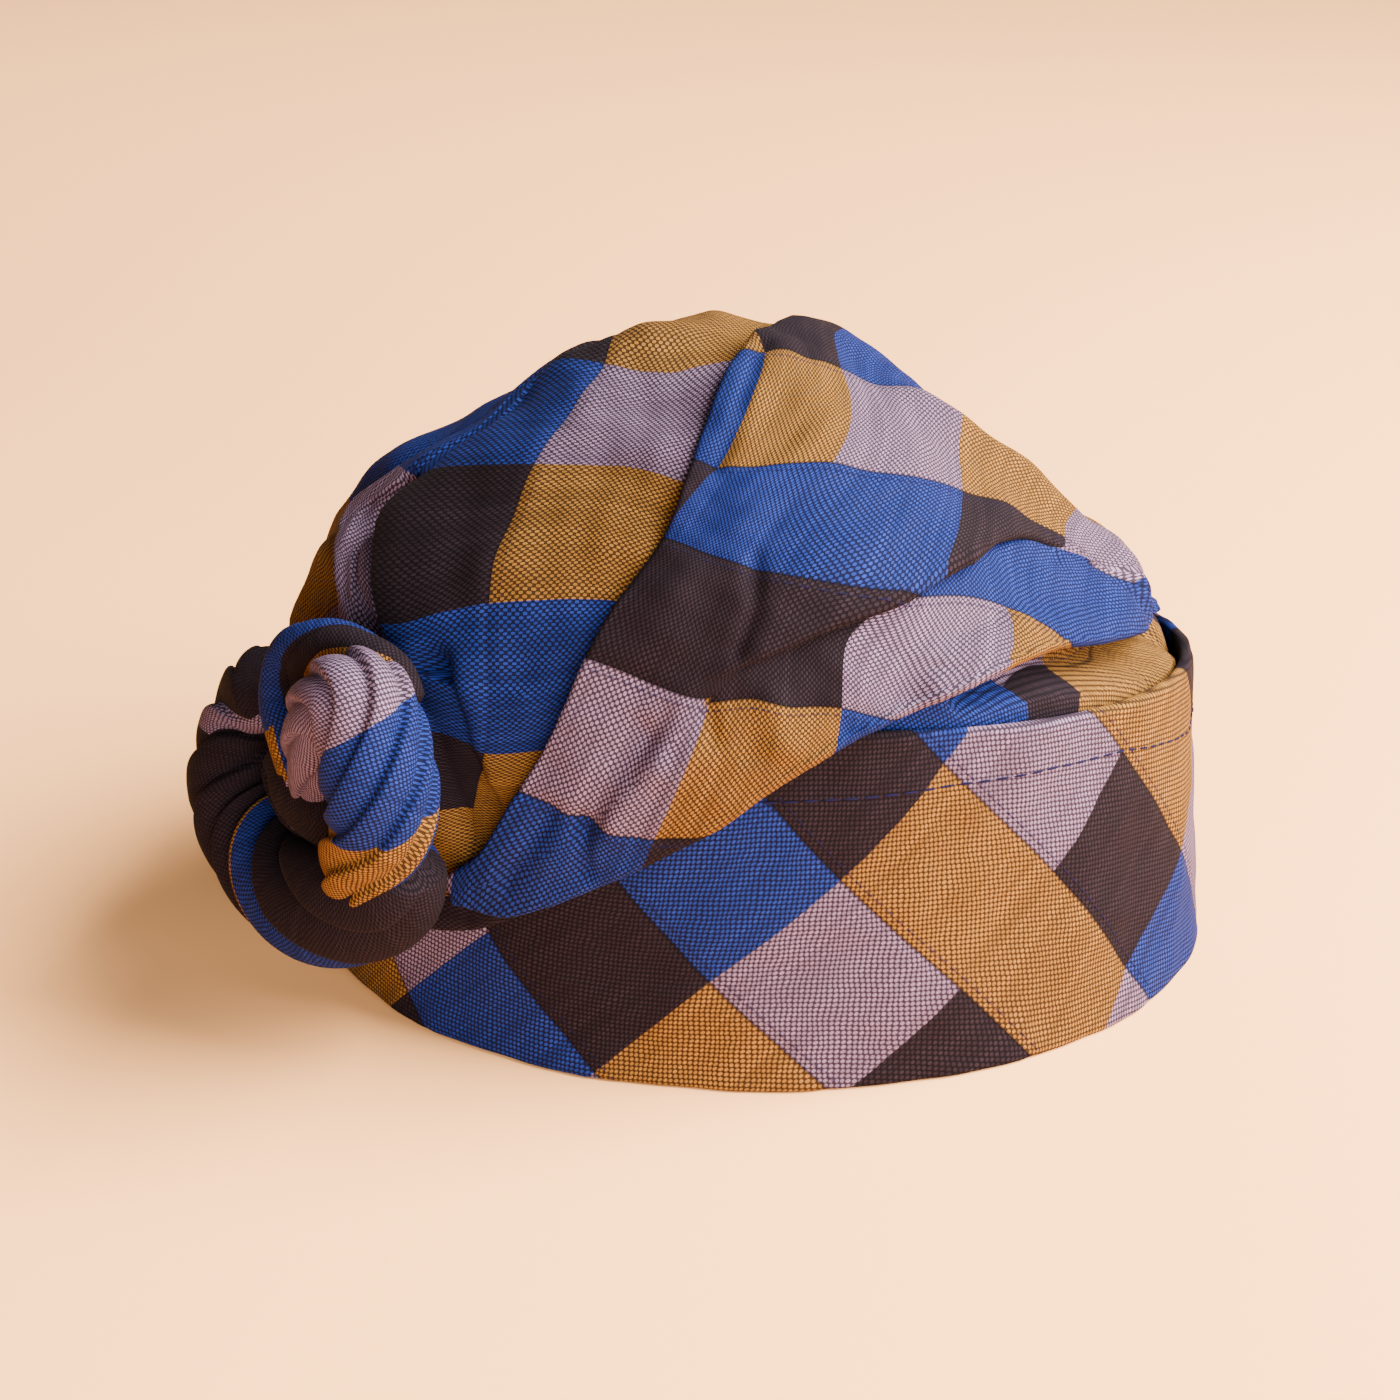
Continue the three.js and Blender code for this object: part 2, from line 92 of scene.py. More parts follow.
# Crown: how far it lies under the drape, and where it comes up to show: about an azimuth, between these
# cosines of the turn away from it and between these elevations. Then its foot, its wall, its clearance
# from the band, which grows towards the back between these cosines, and the gap and thickness of the
# cloth on it.
CROWN_INSET = 6.2
CROWN_SHOWN_INSET = 3
CROWN_SHOWN_AZIMUTH = 65
CROWN_SHOWN_FACING = (0.3, 0.8)
CROWN_SHOWN_FADE = (30, 60)
CROWN_FOOT = -12
CROWN_WALL = 1.4
CROWN_BACK_CLEARANCE = 2.8
CROWN_BACK_FACING = (-0.2, 0.5)
SEAT_GAP = 0.6
CLOTH = 0.8

# Sewn ends of the wraps: where they start to draw in above the rim, in degrees, their place on it, how
# far above it a wrap may still lie on the band, and the draw from which a row counts as sewn.
DRAW_IN = 14
RIM_INSET = 0.3
RIM_CLEARANCE = 0.35
RIM_MARGIN = 2
SEWN_ON = 0.5

# Strips of the cloth: a strip's width and a colour block's length, in millimetres.
STRIP = 36


def sine(degrees):
    return np.sin(np.radians(degrees))


def cosine(degrees):
    return np.cos(np.radians(degrees))


def smooth(value, start, end):
    """0 before start, 1 after end and a smooth rise between them."""
    share = np.clip((value - start) / (end - start), 0, 1)
    return share * share * (3 - 2 * share)


def lerp(start, end, share):
    return start + (end - start) * share


def cubic(start, end, start_slope, end_slope, share):
    """A cubic between two values with given slopes at its ends."""
    bend_in = share**3 - 2 * share**2 + share
    bend_out = share**3 - share**2
    return lerp(start, end, 3 * share**2 - 2 * share**3) + start_slope * bend_in + end_slope * bend_out


def hermite(points, slopes, place):
    """A cubic through points on the first axis, at a place counted in points."""
    low = np.clip(np.floor(place).astype(int), 0, len(points) - 2)
    share = np.asarray(place - low)
    share = share.reshape(share.shape + (1,) * (points.ndim - 1))
    return cubic(points[low], points[low + 1], slopes[low], slopes[low + 1], share)


def ellipse(half_width, half_depth, azimuth):
    return 1 / np.hypot(sine(azimuth) / half_width, cosine(azimuth) / half_depth)


def drape_reach(azimuth, elevation):
    table = np.array(DRAPE_ROWS)
    place = np.interp(elevation, table[:, 0], np.arange(len(table)))
    reaches = hermite(table[:, 1:], np.gradient(table[:, 1:], axis=0), np.asarray(place))
    left, right, front, back = np.moveaxis(reaches, -1, 0)
    side = np.where(sine(azimuth) < 0, left, right)
    face = np.where(cosine(azimuth) > 0, front, back)
    return ellipse(side, face, azimuth)


def rim_height(azimuth):
    return RIM_HEIGHT + RIM_FRONT_RISE * cosine(azimuth) - RIM_KNOT_SIDE_RISE * sine(azimuth)


def band_radius(azimuth, height):
    return ellipse(BAND_HALF_WIDTH, BAND_HALF_DEPTH, azimuth) * (1 - BAND_LEAN_PER_MM * height)


def band_reach(azimuth, elevation):
    foot = ellipse(BAND_HALF_WIDTH, BAND_HALF_DEPTH, azimuth)
    slope = foot * BAND_LEAN_PER_MM
    return (foot - slope * HEAD_MIDDLE) / (cosine(elevation) + slope * sine(elevation))


def rim_elevation(azimuth):
    height = rim_height(azimuth)
    return np.degrees(np.arctan2(height - HEAD_MIDDLE, band_radius(azimuth, height)))


# Soft creases in the cloth: a run of places on the drape, the depth, below 0 for a ridge, and the half
# width in millimetres. Lengths on the drape are about this many millimetres for each degree.
Crease = namedtuple("Crease", "run depth half_width")
MM_PER_DEGREE = 1.5


def crease_depth(creases, place):
    depth = np.zeros(place.shape[:-1])
    for crease in creases:
        run = [to_map(azimuth, elevation) for azimuth, elevation in crease.run]
        nearest = np.full(place.shape[:-1], np.inf)
        for start, end in zip(run, run[1:]):
            span = end - start
            share = np.clip(((place - start) @ span) / (span @ span), 0, 1)
            gap = np.linalg.norm(place - start - share[..., None] * span, axis=-1)
            nearest = np.minimum(nearest, gap)
        depth += crease.depth * np.exp(-((nearest * MM_PER_DEGREE / crease.half_width) ** 2))
    return depth


# Crown: the hollow beside the knot and the one under the upper wrap's rolled edge.
CROWN_CREASES = (
    Crease(((-50.5, 14), (-47, 9), (-44.5, 4), (-42.5, -1), (-41.5, -4)), 8, 9),
    Crease(((30, 16.5), (38, 17.5), (47, 17.5), (60, 14.5), (74, 11), (86, 10)), 9, 5),
)


# Puffy tucks of the crown above the rim: middle, half width and height. They swell from an elevation up
# to 0, and fade out between two heights above the rim, in degrees.
TuckRow = namedtuple("TuckRow", "azimuth half_width height")
TUCK_ROWS = (
    TuckRow(27, 13, 3),
    TuckRow(46, 7, 4),
    TuckRow(61, 9, 5),
    TuckRow(78, 10, 6),
    TuckRow(97, 11, 4),
    TuckRow(117, 11, 4),
)
TUCK_LOW = -6
TUCK_FULL = 1
TUCK_TOP = 6


def tuck_height(azimuth, elevation):
    above_rim = elevation - rim_elevation(azimuth)
    fade = smooth(elevation, TUCK_LOW, 0) * (1 - smooth(above_rim, TUCK_FULL, TUCK_TOP))
    rise = np.zeros(np.shape(azimuth))
    for tuck in TUCK_ROWS:
        share = np.clip(np.abs(azimuth - tuck.azimuth) / tuck.half_width, 0, 1)
        rise = np.maximum(rise, tuck.height * np.sqrt(1 - share**2))
    return fade * rise


def crown_reach(azimuth, elevation):
    facing = smooth(cosine(azimuth - CROWN_SHOWN_AZIMUTH), *CROWN_SHOWN_FACING)
    shown = facing * (1 - smooth(elevation, *CROWN_SHOWN_FADE))
    inset = lerp(CROWN_INSET, CROWN_SHOWN_INSET, shown)
    hollow = crease_depth(CROWN_CREASES, to_map(azimuth, elevation))
    cap = drape_reach(azimuth, elevation) - inset - hollow + tuck_height(azimuth, elevation)
    behind = smooth(-cosine(azimuth), *CROWN_BACK_FACING)
    clearance = lerp(SEAT_GAP, CROWN_BACK_CLEARANCE, behind)
    return np.minimum(cap, band_reach(azimuth, elevation) - BAND_WALL - clearance)


def rest_reach(azimuth, elevation):
    """What a wrap lies on: the crown, and the band below its rim."""
    on_band = elevation < rim_elevation(azimuth) + RIM_MARGIN
    band = np.where(on_band, band_reach(azimuth, elevation), 0)
    return np.maximum(crown_reach(azimuth, elevation), band)


def at_reach(azimuth, elevation, reach):
    level = reach * cosine(elevation)
    up = HEAD_MIDDLE + reach * sine(elevation)
    return np.stack([level * sine(azimuth), -level * cosine(azimuth), up], axis=-1)


def to_map(azimuth, elevation):
    """A flat map of the drape in degrees, with the top of the head at its middle."""
    distance = 90 - np.asarray(elevation, float)
    return np.stack([distance * sine(azimuth), -distance * cosine(azimuth)], axis=-1)


def from_map(place):
    azimuth = np.degrees(np.arctan2(place[..., 0], -place[..., 1]))
    return azimuth, 90 - np.hypot(place[..., 0], place[..., 1])


def row_value(values, along):
    """A value given at each row, at shares along a piece."""
    return np.interp(along * (len(values) - 1), np.arange(len(values)), values)


# Charting the cloth. A pin says which strip and row of the weave lies at a place, and a thin plate bends
# the cloth through all pins of a layer.
Pin = namedtuple("Pin", "azimuth elevation strip row")
PLATE_SPAN = 60
PLATE_SLACK = 0.002


def plate_kernel(distance):
    return distance**2 * np.log(np.maximum(distance, TINY))


def bent_plate(places, values):
    """A function from places on a plane to values, through the given ones."""
    places = np.asarray(places, float) / PLATE_SPAN
    count = len(places)
    gaps = np.linalg.norm(places[:, None] - places[None], axis=-1)
    flat = np.column_stack([np.ones(count), places])
    system = np.zeros((count + 3, count + 3))
    system[:count, :count] = plate_kernel(gaps) + PLATE_SLACK * np.eye(count)
    system[:count, count:] = flat
    system[count:, :count] = flat.T
    weights = np.linalg.solve(system, np.vstack([np.asarray(values, float), np.zeros((3, 2))]))

    def plate(where):
        where = np.asarray(where, float) / PLATE_SPAN
        result = weights[count] + where[..., :1] * weights[count + 1] + where[..., 1:] * weights[count + 2]
        for place, weight in zip(places, weights[:count]):
            result = result + plate_kernel(np.linalg.norm(where - place, axis=-1))[..., None] * weight
        return result

    return plate


def drape_chart(pins):
    places = [to_map(pin.azimuth, pin.elevation) for pin in pins]
    return bent_plate(places, [(pin.strip, pin.row) for pin in pins])


# Meshes.
WELD = 1e-6


def new_object(name, data):
    made = bpy.data.objects.new(name, data)
    bpy.context.scene.collection.objects.link(made)
    return made


def new_mesh(name, shape):
    """A mesh from a bmesh, which is freed."""
    mesh = bpy.data.meshes.new(name)
    shape.to_mesh(mesh)
    shape.free()
    return mesh


def bent_grid(name, points, charts, weaves, layers=0, loops=False):
    """A grid of cloth as a new object: a table of points in millimetres, the chart and the weave of each
    layer at those points, and the layer of each column of faces. A grid that loops is welded to itself."""
    along_steps = points.shape[0] - 1
    across_steps = points.shape[1] - 1
    grid = bmesh.new()
    bmesh.ops.create_grid(grid, x_segments=along_steps, y_segments=across_steps, size=0.5)
    mesh = new_mesh(name, grid)
    flat = np.zeros(len(mesh.vertices) * 3)
    mesh.vertices.foreach_get("co", flat)
    flat = flat.reshape(-1, 3) + 0.5
    row = np.rint(flat[:, 0] * along_steps).astype(int)
    column = np.rint(flat[:, 1] * across_steps).astype(int)
    placed = points[row, column] * MM + MIDDLE
    mesh.vertices.foreach_set("co", placed.astype(np.float32).ravel())
    corners = np.zeros(len(mesh.loops), int)
    mesh.loops.foreach_get("vertex_index", corners)
    face_column = np.repeat(column[corners].reshape(-1, 4).min(axis=1), 4)
    corner_layer = np.broadcast_to(layers, across_steps)[face_column]
    for title, table in (("chart", charts), ("weave", weaves)):
        values = np.asarray(table)[corner_layer, row[corners], column[corners]]
        uv_layer = mesh.uv_layers.new(name=title)
        uv_layer.uv.foreach_set("vector", values.astype(np.float32).ravel())
    mesh.polygons.foreach_set("material_index", corner_layer[::4].astype(np.int32))
    mesh.shade_smooth()
    if loops:
        weld(mesh)
    mesh.update()
    return new_object(name, mesh)


def weld(mesh):
    """Closes seams and poles and points the faces outwards."""
    shell = bmesh.new()
    shell.from_mesh(mesh)
    bmesh.ops.remove_doubles(shell, verts=shell.verts, dist=WELD)
    bmesh.ops.recalc_face_normals(shell, faces=shell.faces)
    shell.to_mesh(mesh)
    shell.free()


def thicken(piece, thickness):
    wall = piece.modifiers.new("cloth wall", "SOLIDIFY")
    wall.thickness = thickness * MM
    wall.offset = -1


def finish_piece(piece, node, materials):
    for material in materials:
        piece.data.materials.append(material)
    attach(piece, "root")
    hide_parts(node)


# Waves of slack cloth, finer and shallower each time: the turn in degrees, the length and the height.
# Each sways to and fro along its crests, by an angle and over a number of its lengths.
WaveRow = namedtuple("WaveRow", "turn length height")
WAVES = (
    WaveRow(20, 43, 0.5),
    WaveRow(75, 31, 0.38),
    WaveRow(130, 22, 0.28),
    WaveRow(48, 14, 0.15),
    WaveRow(160, 9, 0.08),
)
WAVE_SWAY = 2.2
WAVE_SWAY_LENGTH = 1.7


def slack_waves(chart):
    """Small waves in the cloth, by its place in the weave."""
    u, v = chart[..., 0] * STRIP, chart[..., 1] * STRIP
    rise = np.zeros(u.shape)
    for wave in WAVES:
        across = u * cosine(wave.turn) + v * sine(wave.turn)
        crest = v * cosine(wave.turn) - u * sine(wave.turn)
        bend = WAVE_SWAY * np.sin(crest / (WAVE_SWAY_LENGTH * wave.length))
        rise += wave.height * np.sin(2 * np.pi * across / wave.length + bend)
    return rise


# Groove of a strip seam, in millimetres.
SEAM_DEPTH = 0.28
SEAM_HALF_WIDTH = 1.1


def seam_depth(chart):
    """A groove along each strip seam."""
    gap = np.abs(chart[..., 0] - np.rint(chart[..., 0])) * STRIP
    return SEAM_DEPTH * np.exp(-((gap / SEAM_HALF_WIDTH) ** 2))


# Wraps. A wrap is a sheet between guide lines. Bends lie on some of them: an edge that turns under, or a
# pleat whose top layer rolls over and laps the layer below. Sizes are in millimetres, columns are columns
# of the mesh, and top is 1 where the layer after a pleat lies on top and -1 where the one before it does.
Edge = namedtuple("Edge", "line columns radius tuck fall")
Pleat = namedtuple("Pleat", "line columns radius run lap top strength fall")
Fit = namedtuple("Fit", "run radius lap strength depth")
# How far a pleat's lower layer drops, the share of a pleat's depth that stands above the drape, the share
# of the width beside a bend that it may take, and the steepest slope across the guide lines for each unit
# of their span.
PLEAT_DROP = 0.9
TOP_SHARE = 0.45
ROOM_SHARE = 0.45
STEEPEST = 2


def eased_slopes(at):
    """Slopes across guide lines, no steeper than the narrower span beside each line allows."""
    slopes = np.gradient(at, axis=1)
    spans = np.linalg.norm(np.diff(at, axis=1), axis=-1)
    inner = np.minimum(spans[:, 1:], spans[:, :-1])
    steepest = STEEPEST * np.concatenate([spans[:, :1], inner, spans[:, -1:]], axis=1)
    steepness = np.maximum(np.linalg.norm(slopes, axis=-1), TINY)
    return slopes * np.minimum(1, steepest / steepness)[..., None]


def guide_curves(rows, lines):
    """Places on the map for shares along a wrap and lines across it, counted from 0."""
    guides = np.array([[to_map(*getattr(row, line)) for line in lines] for row in rows])
    along_slopes = np.gradient(guides, axis=0)

    def place(along, line):
        at = hermite(guides, along_slopes, along * (len(rows) - 1))
        slopes = eased_slopes(at)
        low = np.clip(np.floor(line).astype(int), 0, len(lines) - 2)
        every = np.arange(len(along))[:, None]
        ends = at[every, low], at[every, low + 1]
        return cubic(*ends, slopes[every, low], slopes[every, low + 1], (line - low)[..., None])

    return place


def line_widths(place, along, first, last, samples=24):
    """The width of the wrap between two lines at each share along, in millimetres."""
    line = np.broadcast_to(np.linspace(first, last, samples), (len(along), samples))
    azimuth, elevation = from_map(place(along, line))
    points = at_reach(azimuth, elevation, drape_reach(azimuth, elevation))
    return np.linalg.norm(np.diff(points, axis=1), axis=-1).sum(axis=1)


def fit_bend(bend, widths_beside, along):
    """A bend's sizes at each share along, kept within the widths beside it."""
    room = ROOM_SHARE * np.min(widths_beside, axis=0)
    radius = np.minimum(row_value(bend.radius, along), room / 2)
    if isinstance(bend, Edge):
        return Fit(radius, radius, np.minimum(bend.tuck, room), np.ones(len(along)), 2 * radius)
    run = np.minimum(bend.run, room)
    strength = row_value(bend.strength, along)
    depth = (2 * radius + PLEAT_DROP) * strength
    return Fit(run, radius, np.minimum(bend.lap, run), strength, depth)


def edge_section(fit, share):
    """Distance in from an edge, lift and place on the cloth, for a share from the face to the tuck."""
    turn = np.pi * fit.radius
    gone = share * (turn + fit.lap)
    angle = np.minimum(gone / fit.radius, np.pi)
    inward = fit.radius - fit.radius * np.sin(angle) + np.maximum(gone - turn, 0)
    return inward, -fit.radius * (1 - np.cos(angle)), fit.radius - gone


def pleat_section(fit, share):
    """Distance towards the top layer, lift and places on the cloth of both layers, for a share from the top
    layer's side of a pleat to the lower layer's."""
    turn = np.pi * fit.radius
    length = 2 * fit.run + turn + 2 * fit.lap
    gone = share * length
    angle = np.clip((gone - fit.run) / fit.radius, 0, np.pi)
    back = np.clip(gone - fit.run - turn, 0, fit.lap)
    forth = np.maximum(gone - fit.run - turn - fit.lap, 0)
    folded = np.where(gone < fit.run, fit.run - gone, -fit.radius * np.sin(angle) + back - forth)
    sunk = -fit.radius * (1 - np.cos(angle)) - PLEAT_DROP * back / np.maximum(fit.lap, TINY)
    towards = lerp(fit.run * (1 - 2 * share), folded, fit.strength)
    used = lerp(2 * fit.run, length, fit.strength)
    lift = TOP_SHARE * fit.depth + fit.strength * sunk
    return towards, lift, fit.run - share * used, -fit.run + (1 - share) * used


class WrapColumns:
    """The columns of a wrap from its first edge to its last: the line of each, its lift off the drape, the
    room it needs below, its line on the cloth in each layer, and the layer that shows there."""

    def __init__(self, place, along, bends, spans):
        self.along = along
        self.layer_count = sum(isinstance(bend, Pleat) for bend in bends) + 1
        self.columns = []
        pairs = list(zip(bends, bends[1:]))
        self.widths = [line_widths(place, along, near.line, far.line) for near, far in pairs]
        self.scales = [width / (far.line - near.line) for width, (near, far) in zip(self.widths, pairs)]
        self.fits = [
            fit_bend(bend, self.widths[max(index - 1, 0):index + 1], along)
            for index, bend in enumerate(bends)
        ]
        self.bends = bends
        layer = 0
        for index, bend in enumerate(bends):
            if isinstance(bend, Edge):
                self.add_edge(index)
            else:
                self.add_pleat(index, layer)
                layer += 1
            if index < len(spans):
                self.add_span(index, layer, spans[index])

    def add_column(self, line, lift, need, cloths, layer):
        self.columns.append((line, lift, need, cloths, layer))

    def add_edge(self, index):
        bend, fit = self.bends[index], self.fits[index]
        is_first = index == 0
        inside = 1 if is_first else -1
        scale = self.scales[0 if is_first else -1]
        shares = np.linspace(0, 1, bend.columns + 1)
        for share in shares[::-1] if is_first else shares:
            inward, lift, cloth = edge_section(fit, share)
            line = bend.line + inside * inward / scale
            cloth_line = bend.line + inside * cloth / scale
            layer = 0 if is_first else self.layer_count - 1
            self.add_column(line, lift, fit.depth, [cloth_line] * self.layer_count, layer)

    def add_pleat(self, index, layer):
        bend, fit = self.bends[index], self.fits[index]
        on_top, below = (index, index - 1) if bend.top > 0 else (index - 1, index)
        shares = np.linspace(0, 1, bend.columns + 1)
        fold_end = bend.run + np.pi * np.max(bend.radius) + bend.lap
        split = fold_end / (fold_end + bend.run + bend.lap)
        need = (1 - TOP_SHARE) * fit.depth
        for share in shares[::-1] if bend.top > 0 else shares:
            towards, lift, top_cloth, low_cloth = pleat_section(fit, share)
            scale = np.where(towards > 0, self.scales[on_top], self.scales[below])
            line = bend.line + bend.top * towards / scale
            top_line = bend.line + bend.top * top_cloth / self.scales[on_top]
            low_line = bend.line + bend.top * low_cloth / self.scales[below]
            first, second = (low_line, top_line) if bend.top > 0 else (top_line, low_line)
            cloths = [first if number <= layer else second for number in range(self.layer_count)]
            is_second = share < split if bend.top > 0 else share >= split
            self.add_column(line, lift, need, cloths, layer + int(is_second))

    def add_span(self, index, layer, count):
        start, end = self.bends[index], self.bends[index + 1]
        scale = self.scales[index]
        first = start.line + self.fits[index].run / scale
        last = end.line - self.fits[index + 1].run / scale
        for share in np.linspace(0, 1, count + 1)[1:-1]:
            line = lerp(first, last, share)
            lift = np.zeros(len(self.along))
            need = np.zeros(len(self.along))
            for number, side in ((index, 1), (index + 1, -1)):
                bend, fit = self.bends[number], self.fits[number]
                away = np.abs(line - bend.line) * scale - fit.run
                hidden = np.maximum(fit.lap - fit.run, 0)
                fade = 1 - smooth(away, hidden, hidden + 2 * bend.fall)
                if isinstance(bend, Edge):
                    need = np.maximum(need, fit.depth * fade)
                    continue
                need = np.maximum(need, (1 - TOP_SHARE) * fit.depth * fade)
                level = TOP_SHARE if bend.top * side > 0 else TOP_SHARE - 1
                lift = lift + level * fit.depth * (1 - smooth(away, 0, 2 * bend.fall))
            self.add_column(line, lift, need, [line] * self.layer_count, layer)

    def tables(self):
        lines, lifts, needs, cloths, layers = zip(*self.columns)
        line, lift, need = (np.stack(columns, axis=1) for columns in (lines, lifts, needs))
        cloth_lines = [np.stack(columns, axis=1) for columns in zip(*cloths)]
        return line, lift, need, cloth_lines, layers


def wrap_points(rows, along, place_map, stand, lift, need):
    """Points of a wrap's outer face at places on the map, drawn in to the rim where it is sewn."""
    azimuth, elevation = from_map(place_map)
    sewn = row_value([row.sewn for row in rows], along)[:, None] * np.ones(azimuth.shape)
    is_sewn = sewn > SEWN_ON
    rim = rim_elevation(azimuth) + RIM_CLEARANCE
    elevation = np.where(is_sewn, np.maximum(elevation, rim), elevation)
    drawn = sewn * (1 - smooth(elevation - rim, 0, DRAW_IN))
    rest = lerp(drape_reach(azimuth, elevation), band_reach(azimuth, elevation) - RIM_INSET, drawn)
    support = np.where(is_sewn, crown_reach(azimuth, elevation), rest_reach(azimuth, elevation))
    under = support + SEAT_GAP + CLOTH
    reach = np.maximum(np.maximum(rest + stand, under + need) + lift, under)
    return at_reach(azimuth, elevation, reach)


def surface_lengths(points, axis):
    """Lengths along a table of points from its start, in millimetres."""
    steps = np.linalg.norm(np.diff(points, axis=axis), axis=-1)
    start = np.zeros_like(steps.take([0], axis=axis))
    return np.concatenate([start, np.cumsum(steps, axis=axis)], axis=axis)


def fold_weave(points, first):
    """A weave whose threads follow a fold that starts at a column."""
    along = surface_lengths(points, 0)[:, first:first + 1]
    across = surface_lengths(points, 1)
    return np.stack(np.broadcast_arrays(along, across - across[:, first:first + 1]), axis=-1)


def build_wrap(name, rows, lines, bends, spans, charts, aligned, stand_of, along_steps):
    """Builds a wrap. A layer's weave is aligned with its chart, or follows the fold the layer starts at."""
    place = guide_curves(rows, lines)
    along = np.linspace(0, 1, along_steps + 1)
    line, lift, need, cloth_lines, layers = WrapColumns(place, along, bends, spans).tables()
    where = place(along, line)
    chart_tables = [chart(place(along, cloth)) for chart, cloth in zip(charts, cloth_lines)]
    seen = np.array(chart_tables)[np.array(layers), :, np.arange(len(layers))].swapaxes(0, 1)
    relief = slack_waves(seen) - seam_depth(seen)
    points = wrap_points(rows, along, where, stand_of(along, line, where), lift + relief, need)
    weaves = [
        table * STRIP if is_aligned else fold_weave(points, layers.index(number))
        for number, (table, is_aligned) in enumerate(zip(chart_tables, aligned))
    ]
    piece = bent_grid(name, points, chart_tables, weaves, layers[:-1])
    thicken(piece, CLOTH)
    return piece


# Upper wrap, from its tip at the knot to its end sewn on the rim: its rolled lower edge, its pleat and
# its folded upper edge as azimuth and elevation, its lift off the drape, the radius of the lower roll,
# the strength of the pleat and how far the row is drawn in to the rim.
OverRow = namedtuple("OverRow", "low pleat fold lift roll strength sewn")
OVER_WRAP_ROWS = (
    OverRow((-44.5, -14.6), (-45.2, -13), (-45.6, -11), 1.5, 1.1, 0, 0),
    OverRow((-35.5, -14.4), (-37.5, -9), (-39.5, -5.5), 1.5, 1.5, 0, 0),
    OverRow((-23, -8.6), (-27, -1), (-34.3, 4), 0.8, 2, 0, 0),
    OverRow((-10, -0.8), (-18, 8.5), (-29.6, 14), 0.6, 2.2, 0, 0),
    OverRow((-1, 6), (-10, 18.5), (-24.3, 30.5), 0.4, 2.2, 0.04, 0),
    OverRow((13, 14), (4, 26.5), (-18.6, 43), 0.4, 2.2, 0.6, 0),
    OverRow((27.5, 18), (19, 32), (-18, 57), 0.4, 2.2, 0.95, 0),
    OverRow((43.5, 19.6), (36, 36.5), (-18.6, 70), 0.4, 2.2, 1, 0),
    OverRow((62, 15.8), (60, 34), (-24, 84), 0.4, 2, 0.3, 0),
    OverRow((80, 11.2), (83, 20), (166, 69), -0.5, 1, 0, 0),
    OverRow((97, 8), (107, 13), (167, 42), -3, 1, 0, 0.3),
    OverRow((112, 4.2), (130, 3.6), (168, 2.6), -4, 1, 0, 0.6),
)
OVER_WRAP_STEPS = 250
OVER_WRAP_PLEAT = 1.9
OVER_WRAP_FOLD = 1.1
OVER_WRAP_CREASES = (
    Crease(((-2.9, 37.5), (-2.7, 31), (-5, 26)), 1.5, 2.2),
    Crease(((-15, 16), (-19, 9), (-23, 2)), 0.9, 3),
    Crease(((-4, 79), (-9, 59), (-12, 51.5)), 1.1, 2),
    Crease(((-17.9, 13.9), (-23, 5.8), (-25, -0.1)), 1.8, 4),
    Crease(((-15.1, 10.2), (-21, 1.8)), -1.2, 4),
    Crease(((-25.5, 1), (-24.9, -6)), 1.4, 2.6),
    Crease(((-30, 1), (-33, -5), (-36, -9)), 1.4, 3.5),
    Crease(((-9.2, 18), (-7.8, 14)), 1.3, 2.6),
    Crease(((0.2, 18), (1, 14.5)), -1.3, 5),
    Crease(((-11.1, 11.2), (-13.9, 5.4), (-16.2, -0.5)), -0.8, 2.4),
    Crease(((84, 18), (100, 18), (116, 17)), -3.8, 8),
    Crease(((76, 60), (84, 48), (88, 38), (90, 30)), -3.8, 14),
    Crease(((161, 56), (161, 42), (162, 28), (163, 16)), -4, 20),
    Crease(((24, 19.5), (34, 21.5), (45, 22.3), (60, 19.5), (74, 15.5)), -2.6, 5),
    Crease(((48, 35), (56, 33.5), (64, 31)), 2.2, 3.5),
)
# Places where the cloth's seams and colour changes cross, on the layer above the pleat and on the one
# below.
OVER_WRAP_PINS = (
    Pin(-2.4, 76.9, 1, 1), Pin(43.6, 73.9, 1, 2), Pin(98.2, 54, 1, 3),
    Pin(-11.8, 51.4, 2, 1), Pin(13.2, 51.7, 2, 2), Pin(28.7, 49.5, 2, 2.5), Pin(48.1, 46.3, 2, 3),
    Pin(73, 30.9, 2, 4), Pin(2.1, 43, 2.55, 2), Pin(30.5, 35.9, 2.8, 3),
    Pin(-19.3, 40.3, 3, 1), Pin(-2.9, 36.5, 3, 2), Pin(18.9, 32.6, 3, 2.72),
    Pin(-25.7, 22.6, 4, 1.22), Pin(-16.8, 20.6, 4, 1.6), Pin(-8.9, 18.8, 4, 2),
    Pin(-33.1, 3.7, 5, 1.15), Pin(-27.9, 1.9, 5, 1.4), Pin(-15.6, -0.3, 5, 2),
    Pin(-41.2, -9.9, 5.6, 1.15), Pin(122.6, 76.8, 0.55, 2),
)
